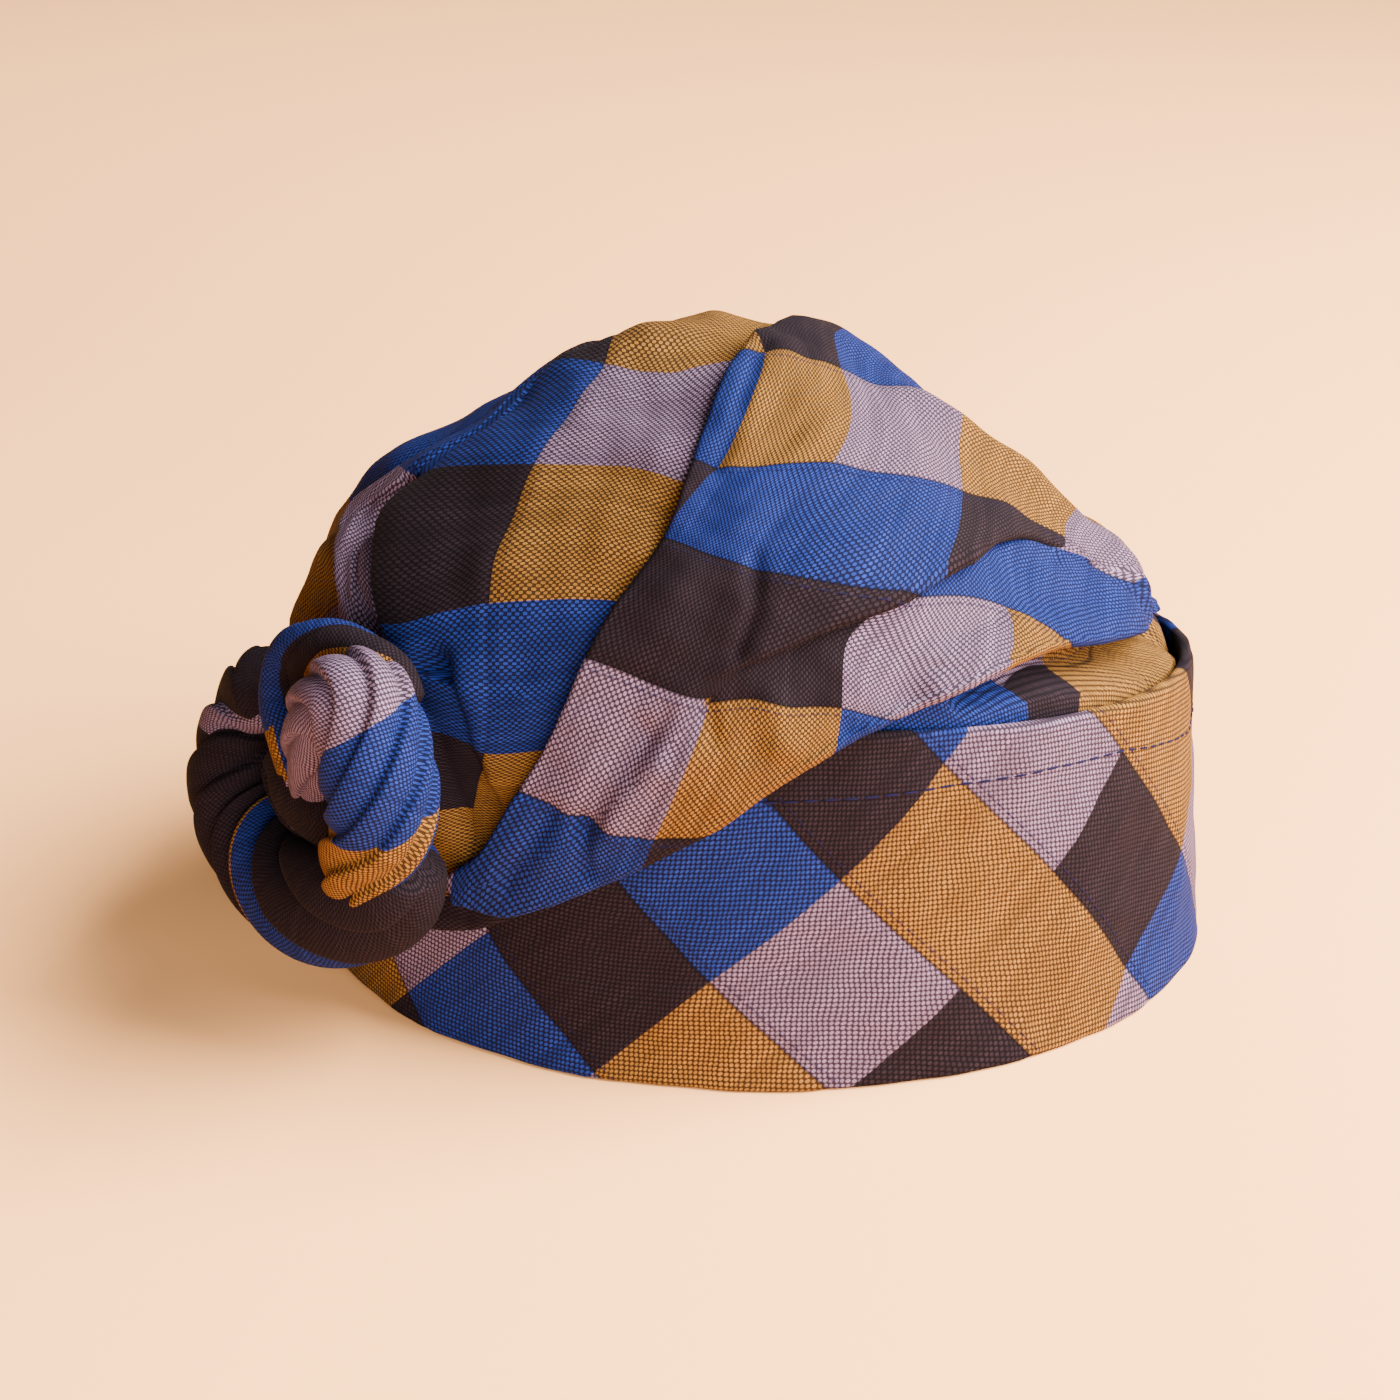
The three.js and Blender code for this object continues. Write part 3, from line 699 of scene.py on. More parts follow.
OVER_WRAP_LOWER_PINS = (
    Pin(20, 32.1, 3, 3), Pin(11, 26.9, 3.45, 3), Pin(9.5, 18.1, 4, 3), Pin(8.4, 12.4, 4.4, 3),
    Pin(29.9, 31.3, 3, 3.45), Pin(42.1, 27.4, 3, 4), Pin(50.3, 19.2, 3, 4.6),
    Pin(48.2, 35.6, 2.45, 4), Pin(38.5, 23, 3.3, 4), Pin(34.4, 19.4, 3.65, 4),
    Pin(13.3, 16.8, 4, 3.25), Pin(18.3, 15.4, 4, 3.55), Pin(-2.5, 19.7, 4, 2.35), Pin(2.3, 18.4, 4, 2.6),
    Pin(-8.9, 18.8, 4, 2), Pin(-33.1, 3.7, 5, 1.15), Pin(-27.9, 1.9, 5, 1.4), Pin(-15.6, -0.3, 5, 2),
    Pin(-41.2, -9.9, 5.6, 1.15), Pin(71.3, 30, 2, 4.45), Pin(75.3, 23.3, 2, 4.8), Pin(85.7, 12.3, 2, 5.2),
)
# Colours by strip, and along each strip: O ochre, K brown, L lavender, B blue.
OVER_WRAP_CHART = ("OKBKO", "BOLOL", "KBBKL", "KKKLO", "BLOBK", "LBKOL")
OVER_WRAP_LOWER_CHART = ("OKBKO", "BOLOL", "BBKBB", "OKKLO", "BLOBK", "LBKOL")

# Lower wrap, from its rolled end over the band to its end sewn on the rim: the edge hidden under the
# upper wrap, its strip seam, its two pleats and its outer edge, how deep the hidden edge is pressed, up
# to which line, the strengths of the pleats and how far the row is drawn in to the rim.
UnderRow = namedtuple(
    "UnderRow", "hidden seam first second edge press pressed first_strength second_strength sewn"
)
UNDER_WRAP_ROWS = (
    UnderRow((-36.3, -15.8), (-43, -18.4), (-49.5, -19.6), (-56, -20), (-62, -20), 1.7, 2, 0, 0, 0),
    UnderRow((-31, -4), (-42, -6.5), (-53, -8), (-64, -9), (-80, -10), 2.7, 1.2, 0.2, 0.2, 0),
    UnderRow((-26, 8), (-41, 8), (-55, 9), (-66, 8), (-95, 6.5), 3, 0.8, 0.7, 0.6, 0),
    UnderRow((-21, 23), (-43.5, 22), (-61, 19), (-74, 17.6), (-106, 9.3), 3, 0.6, 1, 1, 0.6),
    UnderRow((-15, 38), (-50, 38), (-77, 28.5), (-91, 23), (-118, 7.4), 3, 0.5, 1, 1, 1),
    UnderRow((-9, 52), (-60, 51), (-80, 36), (-90, 31.5), (-132, 6.2), 3, 0.5, 0.35, 0.8, 1),
    UnderRow((-2, 66), (-80, 65), (-84, 48), (-93, 44), (-146, 5.2), 3, 0.5, 0, 0.3, 1),
    UnderRow((50, 80), (-108, 80), (-120, 62), (-128, 50), (-156, 4.4), 3, 0.5, 0, 0.1, 1),
    UnderRow((150, 62), (-173, 59.5), (-152, 48), (-152, 37), (-164, 4), 3, 0.7, 0, 0, 1),
    UnderRow((153, 35), (175, 34), (-168, 26), (-163, 19), (-170, 3.6), 3, 1, 0, 0, 1),
    UnderRow((152, 2.6), (164, 2.8), (174, 3), (-180, 3.1), (-174, 3.3), 3, 1.4, 0, 0, 1),
)
UNDER_WRAP_STEPS = 230
UNDER_WRAP_EDGE = 1
UNDER_WRAP_PLEAT = 1.6
# Over how many lines the press lets go, and how much of a seam shows on this wrap.
PRESS_RELEASE = 0.6
FAINT_SEAM = 0.35
UNDER_WRAP_CREASES = (
    Crease(((-50.5, 14), (-47, 9), (-44.5, 4), (-42.5, -1), (-41.5, -4)), 10, 5),
    Crease(((-64, 16), (-72, 19), (-79, 22), (-83, 27), (-83, 32)), 3, 2),
    Crease(((-102, 10), (-101, 22), (-100, 29)), -4.8, 12),
    Crease(((-97, 60), (-103, 70)), -2.2, 10),
    Crease(((-84, 8), (-88, 15)), -3.2, 9),
)
UNDER_WRAP_PINS = (
    Pin(-77.9, 64.6, 1, 1), Pin(-48.2, 70.5, 1.5, 1), Pin(-35.6, 77.8, 1.85, 1),
    Pin(-55.2, 45.9, 1, 2), Pin(-34.6, 50.9, 1.55, 2), Pin(-18, 49.1, 2.02, 2),
    Pin(-45.1, 26.1, 1, 3), Pin(-34.9, 29.3, 1.4, 3), Pin(-24.5, 31, 1.82, 3),
    Pin(-40.6, 6.9, 1, 4), Pin(-31.4, 9.4, 1.4, 4),
    Pin(-84.8, 32.1, 0.25, 2), Pin(-70.3, 40.2, 0.6, 2),
    Pin(-57.2, 19.2, 0.48, 3), Pin(-51.6, 22.8, 0.72, 3),
    # These pins, at rows 4.6 and 5 near azimuth -43, set the edge of the brown block in the pocket beside
    # the knot. That block is painted shade.
    Pin(-43.2, 1, 1, 4.6), Pin(-43.8, -2, 1, 5), Pin(-46, -2, 0.8, 5),
    Pin(-48, -15, 0.85, 6), Pin(-42, -15, 1.05, 6), Pin(-34, -13, 1.35, 6.2),
)
# Colours by strip and row. The brown block of strip 0, row 4, in the pocket right of the knot, is painted
# shade: it stands in for the deep shadow in that pocket.
UNDER_WRAP_CHART = ("KBKBKOK", "OLOBOOK", "KBKBKOK", "OLOBOOK")
UNDER_WRAP_PLEAT_PINS = (
    Pin(-62, 17, 0, 3), Pin(-78, 17, 0.75, 2.8), Pin(-66, 28, 0.1, 2.35), Pin(-84, 22, 0.9, 2.5),
    Pin(-84, 33, 0.8, 2), Pin(-100, 50, 1.2, 1.2),
)
UNDER_WRAP_PLEAT_CHART = ("BBLLOB",)
UNDER_WRAP_SIDE_PINS = (
    Pin(-76, 15, 0, 3.35), Pin(-97, 14, 0.8, 3.35), Pin(-97, 30, 0.7, 2.55), Pin(-94, 42, 0.5, 2),
    Pin(-125, 45, 1.7, 1.8), Pin(-150, 20, 3.2, 3), Pin(-125, 10, 2.3, 3.6),
)
UNDER_WRAP_SIDE_CHART = ("KBBOKL", "BKOLBO")


def drape_press(along, line):
    press = row_value([row.press for row in UNDER_WRAP_ROWS], along)[:, None]
    pressed = row_value([row.pressed for row in UNDER_WRAP_ROWS], along)[:, None]
    return press * (1 - smooth(line, pressed, pressed + PRESS_RELEASE))


# Materials. Kinds of node that are used often, and the inputs and the output of a mix of colours. The
# inputs of a map range are a value, the two ends of its range and the two values that they become.
MATH = "ShaderNodeMath"
MAP_RANGE = "ShaderNodeMapRange"
NOISE = "ShaderNodeTexNoise"
AXES = "ShaderNodeSeparateXYZ"
UV_MAP = "ShaderNodeUVMap"
MIX = "ShaderNodeMix"
FACTOR, BELOW, ABOVE = 0, 6, 7
MIXED = 2


def linear(hex_colour):
    """An sRGB hex colour as a linear colour."""
    channels = np.array([int(hex_colour[i:i + 2], 16) for i in (1, 3, 5)]) / 255
    low = channels / 12.92
    high = ((channels + 0.055) / 1.055) ** 2.4
    return tuple(np.where(channels <= 0.04045, low, high).tolist())


def add(tree, kind, sockets, output=0, **settings):
    """Adds a node, sets it, fills or links its inputs, and gives one of its outputs."""
    node = tree.nodes.new(kind)
    for name, value in settings.items():
        setattr(node, name, value)
    for name, value in sockets.items():
        if isinstance(value, bpy.types.NodeSocket):
            tree.links.new(value, node.inputs[name])
        else:
            node.inputs[name].default_value = value
    return node.outputs[output]


def new_material(name, finish):
    """A material with values set on its shader's own sockets."""
    material = bpy.data.materials.new(name)
    material.use_nodes = True
    for socket, value in finish.items():
        material.node_tree.nodes["Principled BSDF"].inputs[socket].default_value = value
    return material


# Hand-woven cotton is matt: it has hardly any gloss, and a trace of fuzz that catches the light.
COTTON_FINISH = {
    "Roughness": 0.82,
    "Specular IOR Level": 0.03,
    "Sheen Weight": 0.005,
    "Sheen Roughness": 0.45,
}
# Twisted sewing thread is a little smoother than the cloth.
THREAD_FINISH = {"Roughness": 0.8, "Specular IOR Level": 0.05}
# Uncoated paper is flat and matt.
PAPER_FINISH = {"Roughness": 0.95}

# Weave: how far each dash of the weft reaches past the warp thread it covers, and where a dash begins and
# is whole.
DASH_STRETCH = 0.58
DASH_RANGE = (0.1, 0.5)
# The threads waver, by numbers of threads over a length in millimetres.
WARP_WAVER = 1.6
WEFT_WAVER = 2.2
WAVER_LENGTH = 8.333
WAVER_DETAIL = 2
# Weft threads differ in shade, and have streaks of a length and a width in millimetres.
THREAD_SHADES = (0.9, 1.22)
STREAK_LENGTH = 33.33
STREAK_WIDTH = 3.333
STREAK_DETAIL = 4
STREAK_RANGE = (0.3, 0.7)
STREAK_SHADES = (0.78, 1.16)
# Between the dashes the warp shows, darker than the weft. The relief of the threads is in millimetres.
WARP_DARKNESS = 0.85
THREAD_RELIEF = 0.22
RELIEF_STRENGTH = 0.9
# A seam is dark up to one distance from its line and gone at another, and so is the line of stitches
# beside it, in millimetres. The stitches have a pitch, a share of it that is thread, how much of the cloth
# they cover and how far they rise.
SEAM_DARKNESS = 0.65
SEAM_DARK = (0.15, 0.55)
SEAM_STITCH_WIDTH = (0.12, 0.36)
SEAM_STITCH_PITCH = 3.2
SEAM_STITCH_SHARE = 0.68
SEAM_STITCH_COVER = 0.6
SEAM_STITCH_RISE = 0.8


def block_colour(tree, chart, strip, row, settings):
    """The weft's colour in the block of the chart at a place."""
    colours = {"O": settings.ochre, "K": settings.brown, "L": settings.lavender, "B": settings.blue}
    rows = len(chart[0])
    count = len(chart) * rows
    strip_floor = add(tree, MATH, {0: strip}, operation="FLOOR")
    row_floor = add(tree, MATH, {0: row}, operation="FLOOR")
    strip_turn = add(tree, MATH, {0: strip_floor, 1: len(chart)}, operation="FLOORED_MODULO")
    row_turn = add(tree, MATH, {0: row_floor, 1: rows}, operation="FLOORED_MODULO")
    block = add(tree, MATH, {0: strip_turn, 1: rows, 2: row_turn}, operation="MULTIPLY_ADD")
    place = add(tree, MATH, {0: block, 1: 1 / count, 2: 0.5 / count}, operation="MULTIPLY_ADD")
    colour = add(tree, "ShaderNodeValToRGB", {"Fac": place})
    ramp = colour.node.color_ramp
    ramp.interpolation = "CONSTANT"
    while len(ramp.elements) < count:
        ramp.elements.new(1)
    for number, letter in enumerate("".join(chart)):
        ramp.elements[number].position = number / count
        ramp.elements[number].color = (*colours[letter], 1)
    return colour


def weft_dashes(tree, weave, settings):
    """How far the weft lies on top at a place in the weave, and the number of its thread there."""
    axes = add(tree, AXES, {0: weave}).node.outputs
    waver = add(tree, NOISE, {"Vector": weave, "Scale": 1 / WAVER_LENGTH, "Detail": WAVER_DETAIL})
    threads = (("X", settings.warp_spacing, WARP_WAVER), ("Y", settings.weft_spacing, WEFT_WAVER))
    places = []
    waves = []
    for axis, spacing, sway in threads:
        straight = add(tree, MATH, {0: axes[axis], 1: spacing / MM}, operation="DIVIDE")
        place = add(tree, MATH, {0: waver, 1: sway, 2: straight}, operation="MULTIPLY_ADD")
        angle = add(tree, MATH, {0: place, 1: np.pi}, operation="MULTIPLY")
        places.append(place)
        waves.append(add(tree, MATH, {0: angle}, operation="COSINE"))
    crossing = add(tree, MATH, {0: waves[0], 1: waves[1]}, operation="MULTIPLY")
    weft_round = add(tree, MATH, {0: waves[1]}, operation="ABSOLUTE")
    dash = add(tree, MATH, {0: weft_round, 1: DASH_STRETCH, 2: crossing}, operation="MULTIPLY_ADD")
    cover = dict(enumerate((dash, *DASH_RANGE)))
    on_top = add(tree, MAP_RANGE, cover, interpolation_type="SMOOTHSTEP")
    return on_top, add(tree, MATH, {0: places[1]}, operation="ROUND")


def weft_shade(tree, weave, thread_number):
    """The weft's uneven shade, from thread to thread and in streaks along the threads."""
    luck = add(tree, "ShaderNodeTexWhiteNoise", {"W": thread_number}, noise_dimensions="1D")
    thread = add(tree, MAP_RANGE, {0: luck, 3: THREAD_SHADES[0], 4: THREAD_SHADES[1]})
    stretch = (1 / STREAK_LENGTH, 1 / STREAK_WIDTH, 1)
    stretched = add(tree, "ShaderNodeMapping", {0: weave, "Scale": stretch})
    noise = add(tree, NOISE, {"Vector": stretched, "Scale": 1, "Detail": STREAK_DETAIL})
    streak = add(tree, MAP_RANGE, dict(enumerate((noise, *STREAK_RANGE, *STREAK_SHADES))))
    return add(tree, MATH, {0: thread, 1: streak}, operation="MULTIPLY")


def seam_and_stitches(tree, strip, row, settings, strength):
    """How dark the seam between two strips is at a place, and where the stitches beside it lie."""
    line = add(tree, MATH, {0: strip}, operation="ROUND")
    gap = add(tree, MATH, {0: strip, 1: line}, operation="SUBTRACT")
    across = add(tree, MATH, {0: gap, 1: STRIP}, operation="MULTIPLY")
    seam_far = add(tree, MATH, {0: across}, operation="ABSOLUTE")
    seam = add(tree, MAP_RANGE, dict(enumerate((seam_far, *SEAM_DARK, SEAM_DARKNESS * strength, 0))))
    stitch_gap = add(tree, MATH, {0: across, 1: settings.stitch_offset / MM}, operation="SUBTRACT")
    stitch_far = add(tree, MATH, {0: stitch_gap}, operation="ABSOLUTE")
    stitch_line = add(tree, MAP_RANGE, dict(enumerate((stitch_far, *SEAM_STITCH_WIDTH, strength, 0))))
    along = add(tree, MATH, {0: row, 1: STRIP / SEAM_STITCH_PITCH}, operation="MULTIPLY")
    turn = add(tree, MATH, {0: along}, operation="FRACT")
    is_stitch = add(tree, MATH, {0: turn, 1: SEAM_STITCH_SHARE}, operation="LESS_THAN")
    return seam, add(tree, MATH, {0: stitch_line, 1: is_stitch}, operation="MULTIPLY")


def woven_check(name, chart, settings, seam_strength=1):
    """Hand-woven cotton strips in plain weave: dark warp, a coloured weft that lies on top in short bright
    dashes, uneven from thread to thread, with a sewn seam and a line of stitches between strips."""
    material = new_material(name, COTTON_FINISH)
    tree = material.node_tree
    chart_axes = add(tree, AXES, {0: add(tree, UV_MAP, {}, uv_map="chart")}).node.outputs
    strip, row = chart_axes["X"], chart_axes["Y"]
    weave = add(tree, UV_MAP, {}, uv_map="weave")
    weft = block_colour(tree, chart, strip, row, settings)
    weft_on_top, weft_number = weft_dashes(tree, weave, settings)
    shade = weft_shade(tree, weave, weft_number)
    seam, stitch = seam_and_stitches(tree, strip, row, settings, seam_strength)

    shaded_weft = add(tree, "ShaderNodeVectorMath", {0: weft, "Scale": shade}, operation="SCALE")
    stitch_cover = add(tree, MATH, {0: stitch, 1: SEAM_STITCH_COVER}, operation="MULTIPLY")
    dark = (*settings.warp, 1)
    thread = (*settings.thread, 1)
    warp = add(tree, MIX, {FACTOR: WARP_DARKNESS, BELOW: weft, ABOVE: dark}, MIXED, data_type="RGBA")
    colour = add(tree, MIX, {FACTOR: weft_on_top, BELOW: warp, ABOVE: shaded_weft}, MIXED, data_type="RGBA")
    for cover, above in ((seam, dark), (stitch_cover, thread)):
        colour = add(tree, MIX, {FACTOR: cover, BELOW: colour, ABOVE: above}, MIXED, data_type="RGBA")
    height = add(tree, MATH, {0: stitch, 1: SEAM_STITCH_RISE, 2: weft_on_top}, operation="MULTIPLY_ADD")
    relief = {"Height": height, "Distance": THREAD_RELIEF * MM, "Strength": RELIEF_STRENGTH}
    shader = tree.nodes["Principled BSDF"]
    tree.links.new(colour, shader.inputs["Base Color"])
    tree.links.new(add(tree, "ShaderNodeBump", relief), shader.inputs["Normal"])
    return material


# Settings a user would change.
class HatClothSettings(bpy.types.PropertyGroup):
    """Colours and thread sizes of the strip-woven cloth."""

    ochre: FloatVectorProperty(
        name="Ochre", description="Ochre weft", subtype="COLOR", default=linear("#764F20")
    )
    brown: FloatVectorProperty(
        name="Brown", description="Dark brown weft", subtype="COLOR", default=linear("#1F161A")
    )
    lavender: FloatVectorProperty(
        name="Lavender", description="Grey lavender weft", subtype="COLOR", default=linear("#6A5466")
    )
    blue: FloatVectorProperty(
        name="Blue", description="Cobalt blue weft", subtype="COLOR", default=linear("#19265E")
    )
    warp: FloatVectorProperty(
        name="Warp", description="Dark warp between the weft dashes", subtype="COLOR",
        default=linear("#0B0709"),
    )
    thread: FloatVectorProperty(
        name="Sewing thread", description="Violet sewing thread", subtype="COLOR", default=linear("#120E27")
    )
    warp_spacing: FloatProperty(
        name="Warp spacing", description="Distance between warp threads", unit="LENGTH", default=0.82 * MM
    )
    weft_spacing: FloatProperty(
        name="Weft spacing", description="Distance between weft threads", unit="LENGTH", default=0.73 * MM
    )
    stitch_offset: FloatProperty(
        name="Stitch offset", description="Stitches beside each strip seam", unit="LENGTH", default=2.3 * MM
    )


class HatStageSettings(bpy.types.PropertyGroup):
    """Floor, light and camera."""

    floor: FloatVectorProperty(
        name="Floor", description="Pale warm floor and backdrop", subtype="COLOR", default=linear("#FFB268")
    )
    lens: FloatProperty(
        name="Lens", description="Focal length on a 36 mm sensor", unit="CAMERA", default=73.9
    )
    key_power: FloatProperty(
        name="Key light", description="Power of the soft key on the right", unit="POWER", default=162.0
    )
    fill_power: FloatProperty(
        name="Fill light", description="Power of the wide fill in front", unit="POWER", default=40.0
    )
    backdrop_power: FloatProperty(
        name="Backdrop light", description="Power of the lamp at the back", unit="POWER", default=11.0
    )
    surround: FloatVectorProperty(
        name="Surround", description="Light all round", subtype="COLOR", default=linear("#F4F2FF")
    )
    surround_strength: FloatProperty(
        name="Surround strength", description="Strength of the light all round", default=0.17
    )


# Band: steps round it, up its face and round its edges, the shares of its height that its face and its
# inside take up, how far its foot is rounded, and how much of the cloth's slack it has.
BAND_AROUND = 420
BAND_FACE_STEPS = 64
BAND_INSIDE_STEPS = 16
BAND_EDGE_STEPS = 8
BAND_FACE_SHARES = (0.03, 0.97)
BAND_INSIDE_SHARES = (0.95, 0.05)
BAND_FOOT_ROUND = 1.2
BAND_SLACK = 0.6
ARC_STEPS_PER_DEGREE = 4
# Places on the band's face where its seams and colour changes cross, by azimuth and height.
BandPin = namedtuple("BandPin", "azimuth height strip row")
BAND_PINS = (
    BandPin(-55.7, 7, -1, 0), BandPin(-41.9, 28.6, 0, 0), BandPin(-25.1, 1.8, 0, 1),
    BandPin(-22.5, 45.9, 1, 0.1), BandPin(-8.8, 25.3, 1, 1), BandPin(8.4, 0.5, 1, 1.93),
    BandPin(-0.3, 64.9, 2, 0.35), BandPin(10.1, 47.8, 2, 1), BandPin(27.7, 20.6, 2, 2),
    BandPin(39.1, 0.2, 2, 2.55), BandPin(25.6, 71, 3, 1), BandPin(42.9, 42, 3, 2),
    BandPin(56.5, 12.3, 3, 3), BandPin(61.4, 1.1, 3, 3.35), BandPin(49.4, 76.7, 4, 1.6),
    BandPin(56.1, 63.5, 4, 2), BandPin(71.2, 30.6, 4, 3),
)
BAND_CHART = ("KOOLK", "BLKBL", "KOOLO", "BLKBL")


def arc_table():
    """Azimuths and the length along the band's face from the front to each of them."""
    azimuth = np.linspace(-360, 360, 720 * ARC_STEPS_PER_DEGREE + 1)
    radius = band_radius(azimuth, RIM_HEIGHT / 2)
    ring = np.stack([radius * sine(azimuth), -radius * cosine(azimuth)], axis=-1)
    length = np.concatenate([[0], np.cumsum(np.linalg.norm(np.diff(ring, axis=0), axis=-1))])
    return azimuth, length - np.interp(0, azimuth, length)


ARC_AZIMUTH, ARC_LENGTH = arc_table()


def band_chart():
    places = [(np.interp(pin.azimuth, ARC_AZIMUTH, ARC_LENGTH), pin.height) for pin in BAND_PINS]
    return bent_plate(places, [(pin.strip, pin.row) for pin in BAND_PINS])


def band_relief(chart):
    return BAND_SLACK * slack_waves(chart) - seam_depth(chart)


def band_section():
    """Share of the rim height, fixed rise and depth from the face, round the band's wall as a loop."""
    face = [(share, 0, 0) for share in np.linspace(*BAND_FACE_SHARES, BAND_FACE_STEPS)]
    turns = np.linspace(0, np.pi, BAND_EDGE_STEPS)
    half = BAND_WALL / 2
    top = [(1, -half * (1 - np.sin(turn)), half * (1 - np.cos(turn))) for turn in turns]
    inside = [(share, 0, BAND_WALL) for share in np.linspace(*BAND_INSIDE_SHARES, BAND_INSIDE_STEPS)]
    foot = [(0, BAND_FOOT_ROUND * (1 - np.sin(turn)), half * (1 + np.cos(turn))) for turn in turns]
    section = face + top + inside + foot
    return np.array(section + section[:1])


class HAT_OT_band(bpy.types.Operator):
    """Build the fitted band in bias-cut check"""

    bl_idname = "hat.band"
    bl_label = "Band"

    def execute(self, context):
        share, rise, depth = band_section().T
        azimuth = np.linspace(-180, 180, BAND_AROUND + 1)[:, None] * np.ones(len(share))
        height = rim_height(azimuth) * share + rise
        arc = np.interp(azimuth, ARC_AZIMUTH, ARC_LENGTH)
        chart = band_chart()(np.stack([arc, height], axis=-1))
        relief = np.where(depth < BAND_WALL / 2, band_relief(chart), 0)
        radius = band_radius(azimuth, height) - depth + relief
        points = np.stack([radius * sine(azimuth), -radius * cosine(azimuth), height], axis=-1)
        piece = bent_grid("band_cloth", points, [chart], [chart * STRIP], loops=True)
        settings = context.scene.hat_cloth
        cotton = woven_check("band check cotton", BAND_CHART, settings)
        finish_piece(piece, "band", [cotton])
        return {"FINISHED"}


# A line of stitches runs round the band below its rim: how far below, by azimuth, and the sizes of a
# stitch.
StitchRow = namedtuple("StitchRow", "azimuth drop")
STITCH_ROWS = (
    StitchRow(-180, 13), StitchRow(-60, 15), StitchRow(0, 15.3), StitchRow(14, 13.4), StitchRow(28, 11.7),
    StitchRow(42, 10.4), StitchRow(56, 10.5), StitchRow(77, 15.6), StitchRow(120, 14), StitchRow(180, 13),
)
STITCH_STEP = 4.2
STITCH_LENGTH = 3.4
STITCH_RADIUS = 0.24
STITCH_LIFT = 0.08
STITCH_SEGMENTS = 8


def band_point(plate, arc, outward):
    azimuth = np.interp(arc, ARC_LENGTH, ARC_AZIMUTH)
    table = np.array(STITCH_ROWS)
    height = rim_height(azimuth) - np.interp(azimuth, table[:, 0], table[:, 1])
    radius = band_radius(azimuth, height) + band_relief(plate(np.stack([arc, height]))) + outward
    return np.array([radius * sine(azimuth), -radius * cosine(azimuth), height])


class HAT_OT_stitches(bpy.types.Operator):
    """Sew the line of stitches round the band"""

    bl_idname = "hat.stitches"
    bl_label = "Stitches"

    def execute(self, context):
        plate = band_chart()
        half_girth = np.interp(180, ARC_AZIMUTH, ARC_LENGTH)
        count = int(2 * half_girth / STITCH_STEP)
        sewn = bmesh.new()
        for number in range(count):
            arc = lerp(-half_girth, half_girth, number / count)
            start = Vector(band_point(plate, arc, STITCH_LIFT) * MM + MIDDLE)
            end = Vector(band_point(plate, arc + STITCH_LENGTH, STITCH_LIFT) * MM + MIDDLE)
            aim = (end - start).to_track_quat("X", "Z").to_matrix().to_4x4()
            shape = Matrix.Diagonal((STITCH_LENGTH / 2 * MM, STITCH_RADIUS * MM, STITCH_RADIUS * MM, 1))
            bmesh.ops.create_uvsphere(
                sewn, u_segments=STITCH_SEGMENTS, v_segments=STITCH_SEGMENTS, radius=1,
                matrix=Matrix.Translation((start + end) / 2) @ aim @ shape,
            )
        mesh = new_mesh("band_stitches", sewn)
        mesh.shade_smooth()
        finish = {"Base Color": (*context.scene.hat_cloth.thread, 1), **THREAD_FINISH}
        mesh.materials.append(new_material("violet sewing thread", finish))
        piece = new_object("band_stitches", mesh)
        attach(piece, "root")
        return {"FINISHED"}


# Crown: steps round it and down it, and where its seams and colour changes cross.
CROWN_AROUND = 360
CROWN_DOWN = 72
CROWN_PINS = (
    Pin(10, 12, 0.5, 0), Pin(41, 12, 0.6, 1), Pin(50, 11, 0.6, 2), Pin(92, 6, 0.6, 3),
    Pin(40, 15.5, 1, 1), Pin(57, 14, 1, 2.1), Pin(70, 12, 1, 2.5), Pin(60, 50, 2.4, 1.8),
    Pin(0, 60, 2.6, 0), Pin(180, 60, 3.4, 4), Pin(180, 5, 0.5, 6), Pin(-90, 5, 0.5, -3),
)
CROWN_CHART = ("BKOKB", "BLOKL", "OBKLO", "KLBOK")


class HAT_OT_crown(bpy.types.Operator):
    """Build the cap under the wraps, with the tucks that show above the band"""

    bl_idname = "hat.crown"
    bl_label = "Crown"

    def execute(self, context):
        around = np.linspace(-180, 180, CROWN_AROUND + 1)
        down = np.linspace(CROWN_FOOT, 90, CROWN_DOWN + 1)
        azimuth, elevation = np.meshgrid(around, down, indexing="ij")
        where = to_map(azimuth, elevation)
        points = at_reach(azimuth, elevation, crown_reach(azimuth, elevation))
        chart = drape_chart(CROWN_PINS)(where)
        piece = bent_grid("crown_cloth", points, [chart], [where * MM_PER_DEGREE], loops=True)
        thicken(piece, CROWN_WALL)
        settings = context.scene.hat_cloth
        cotton = woven_check("crown check cotton", CROWN_CHART, settings)
        finish_piece(piece, "crown", [cotton])
        return {"FINISHED"}


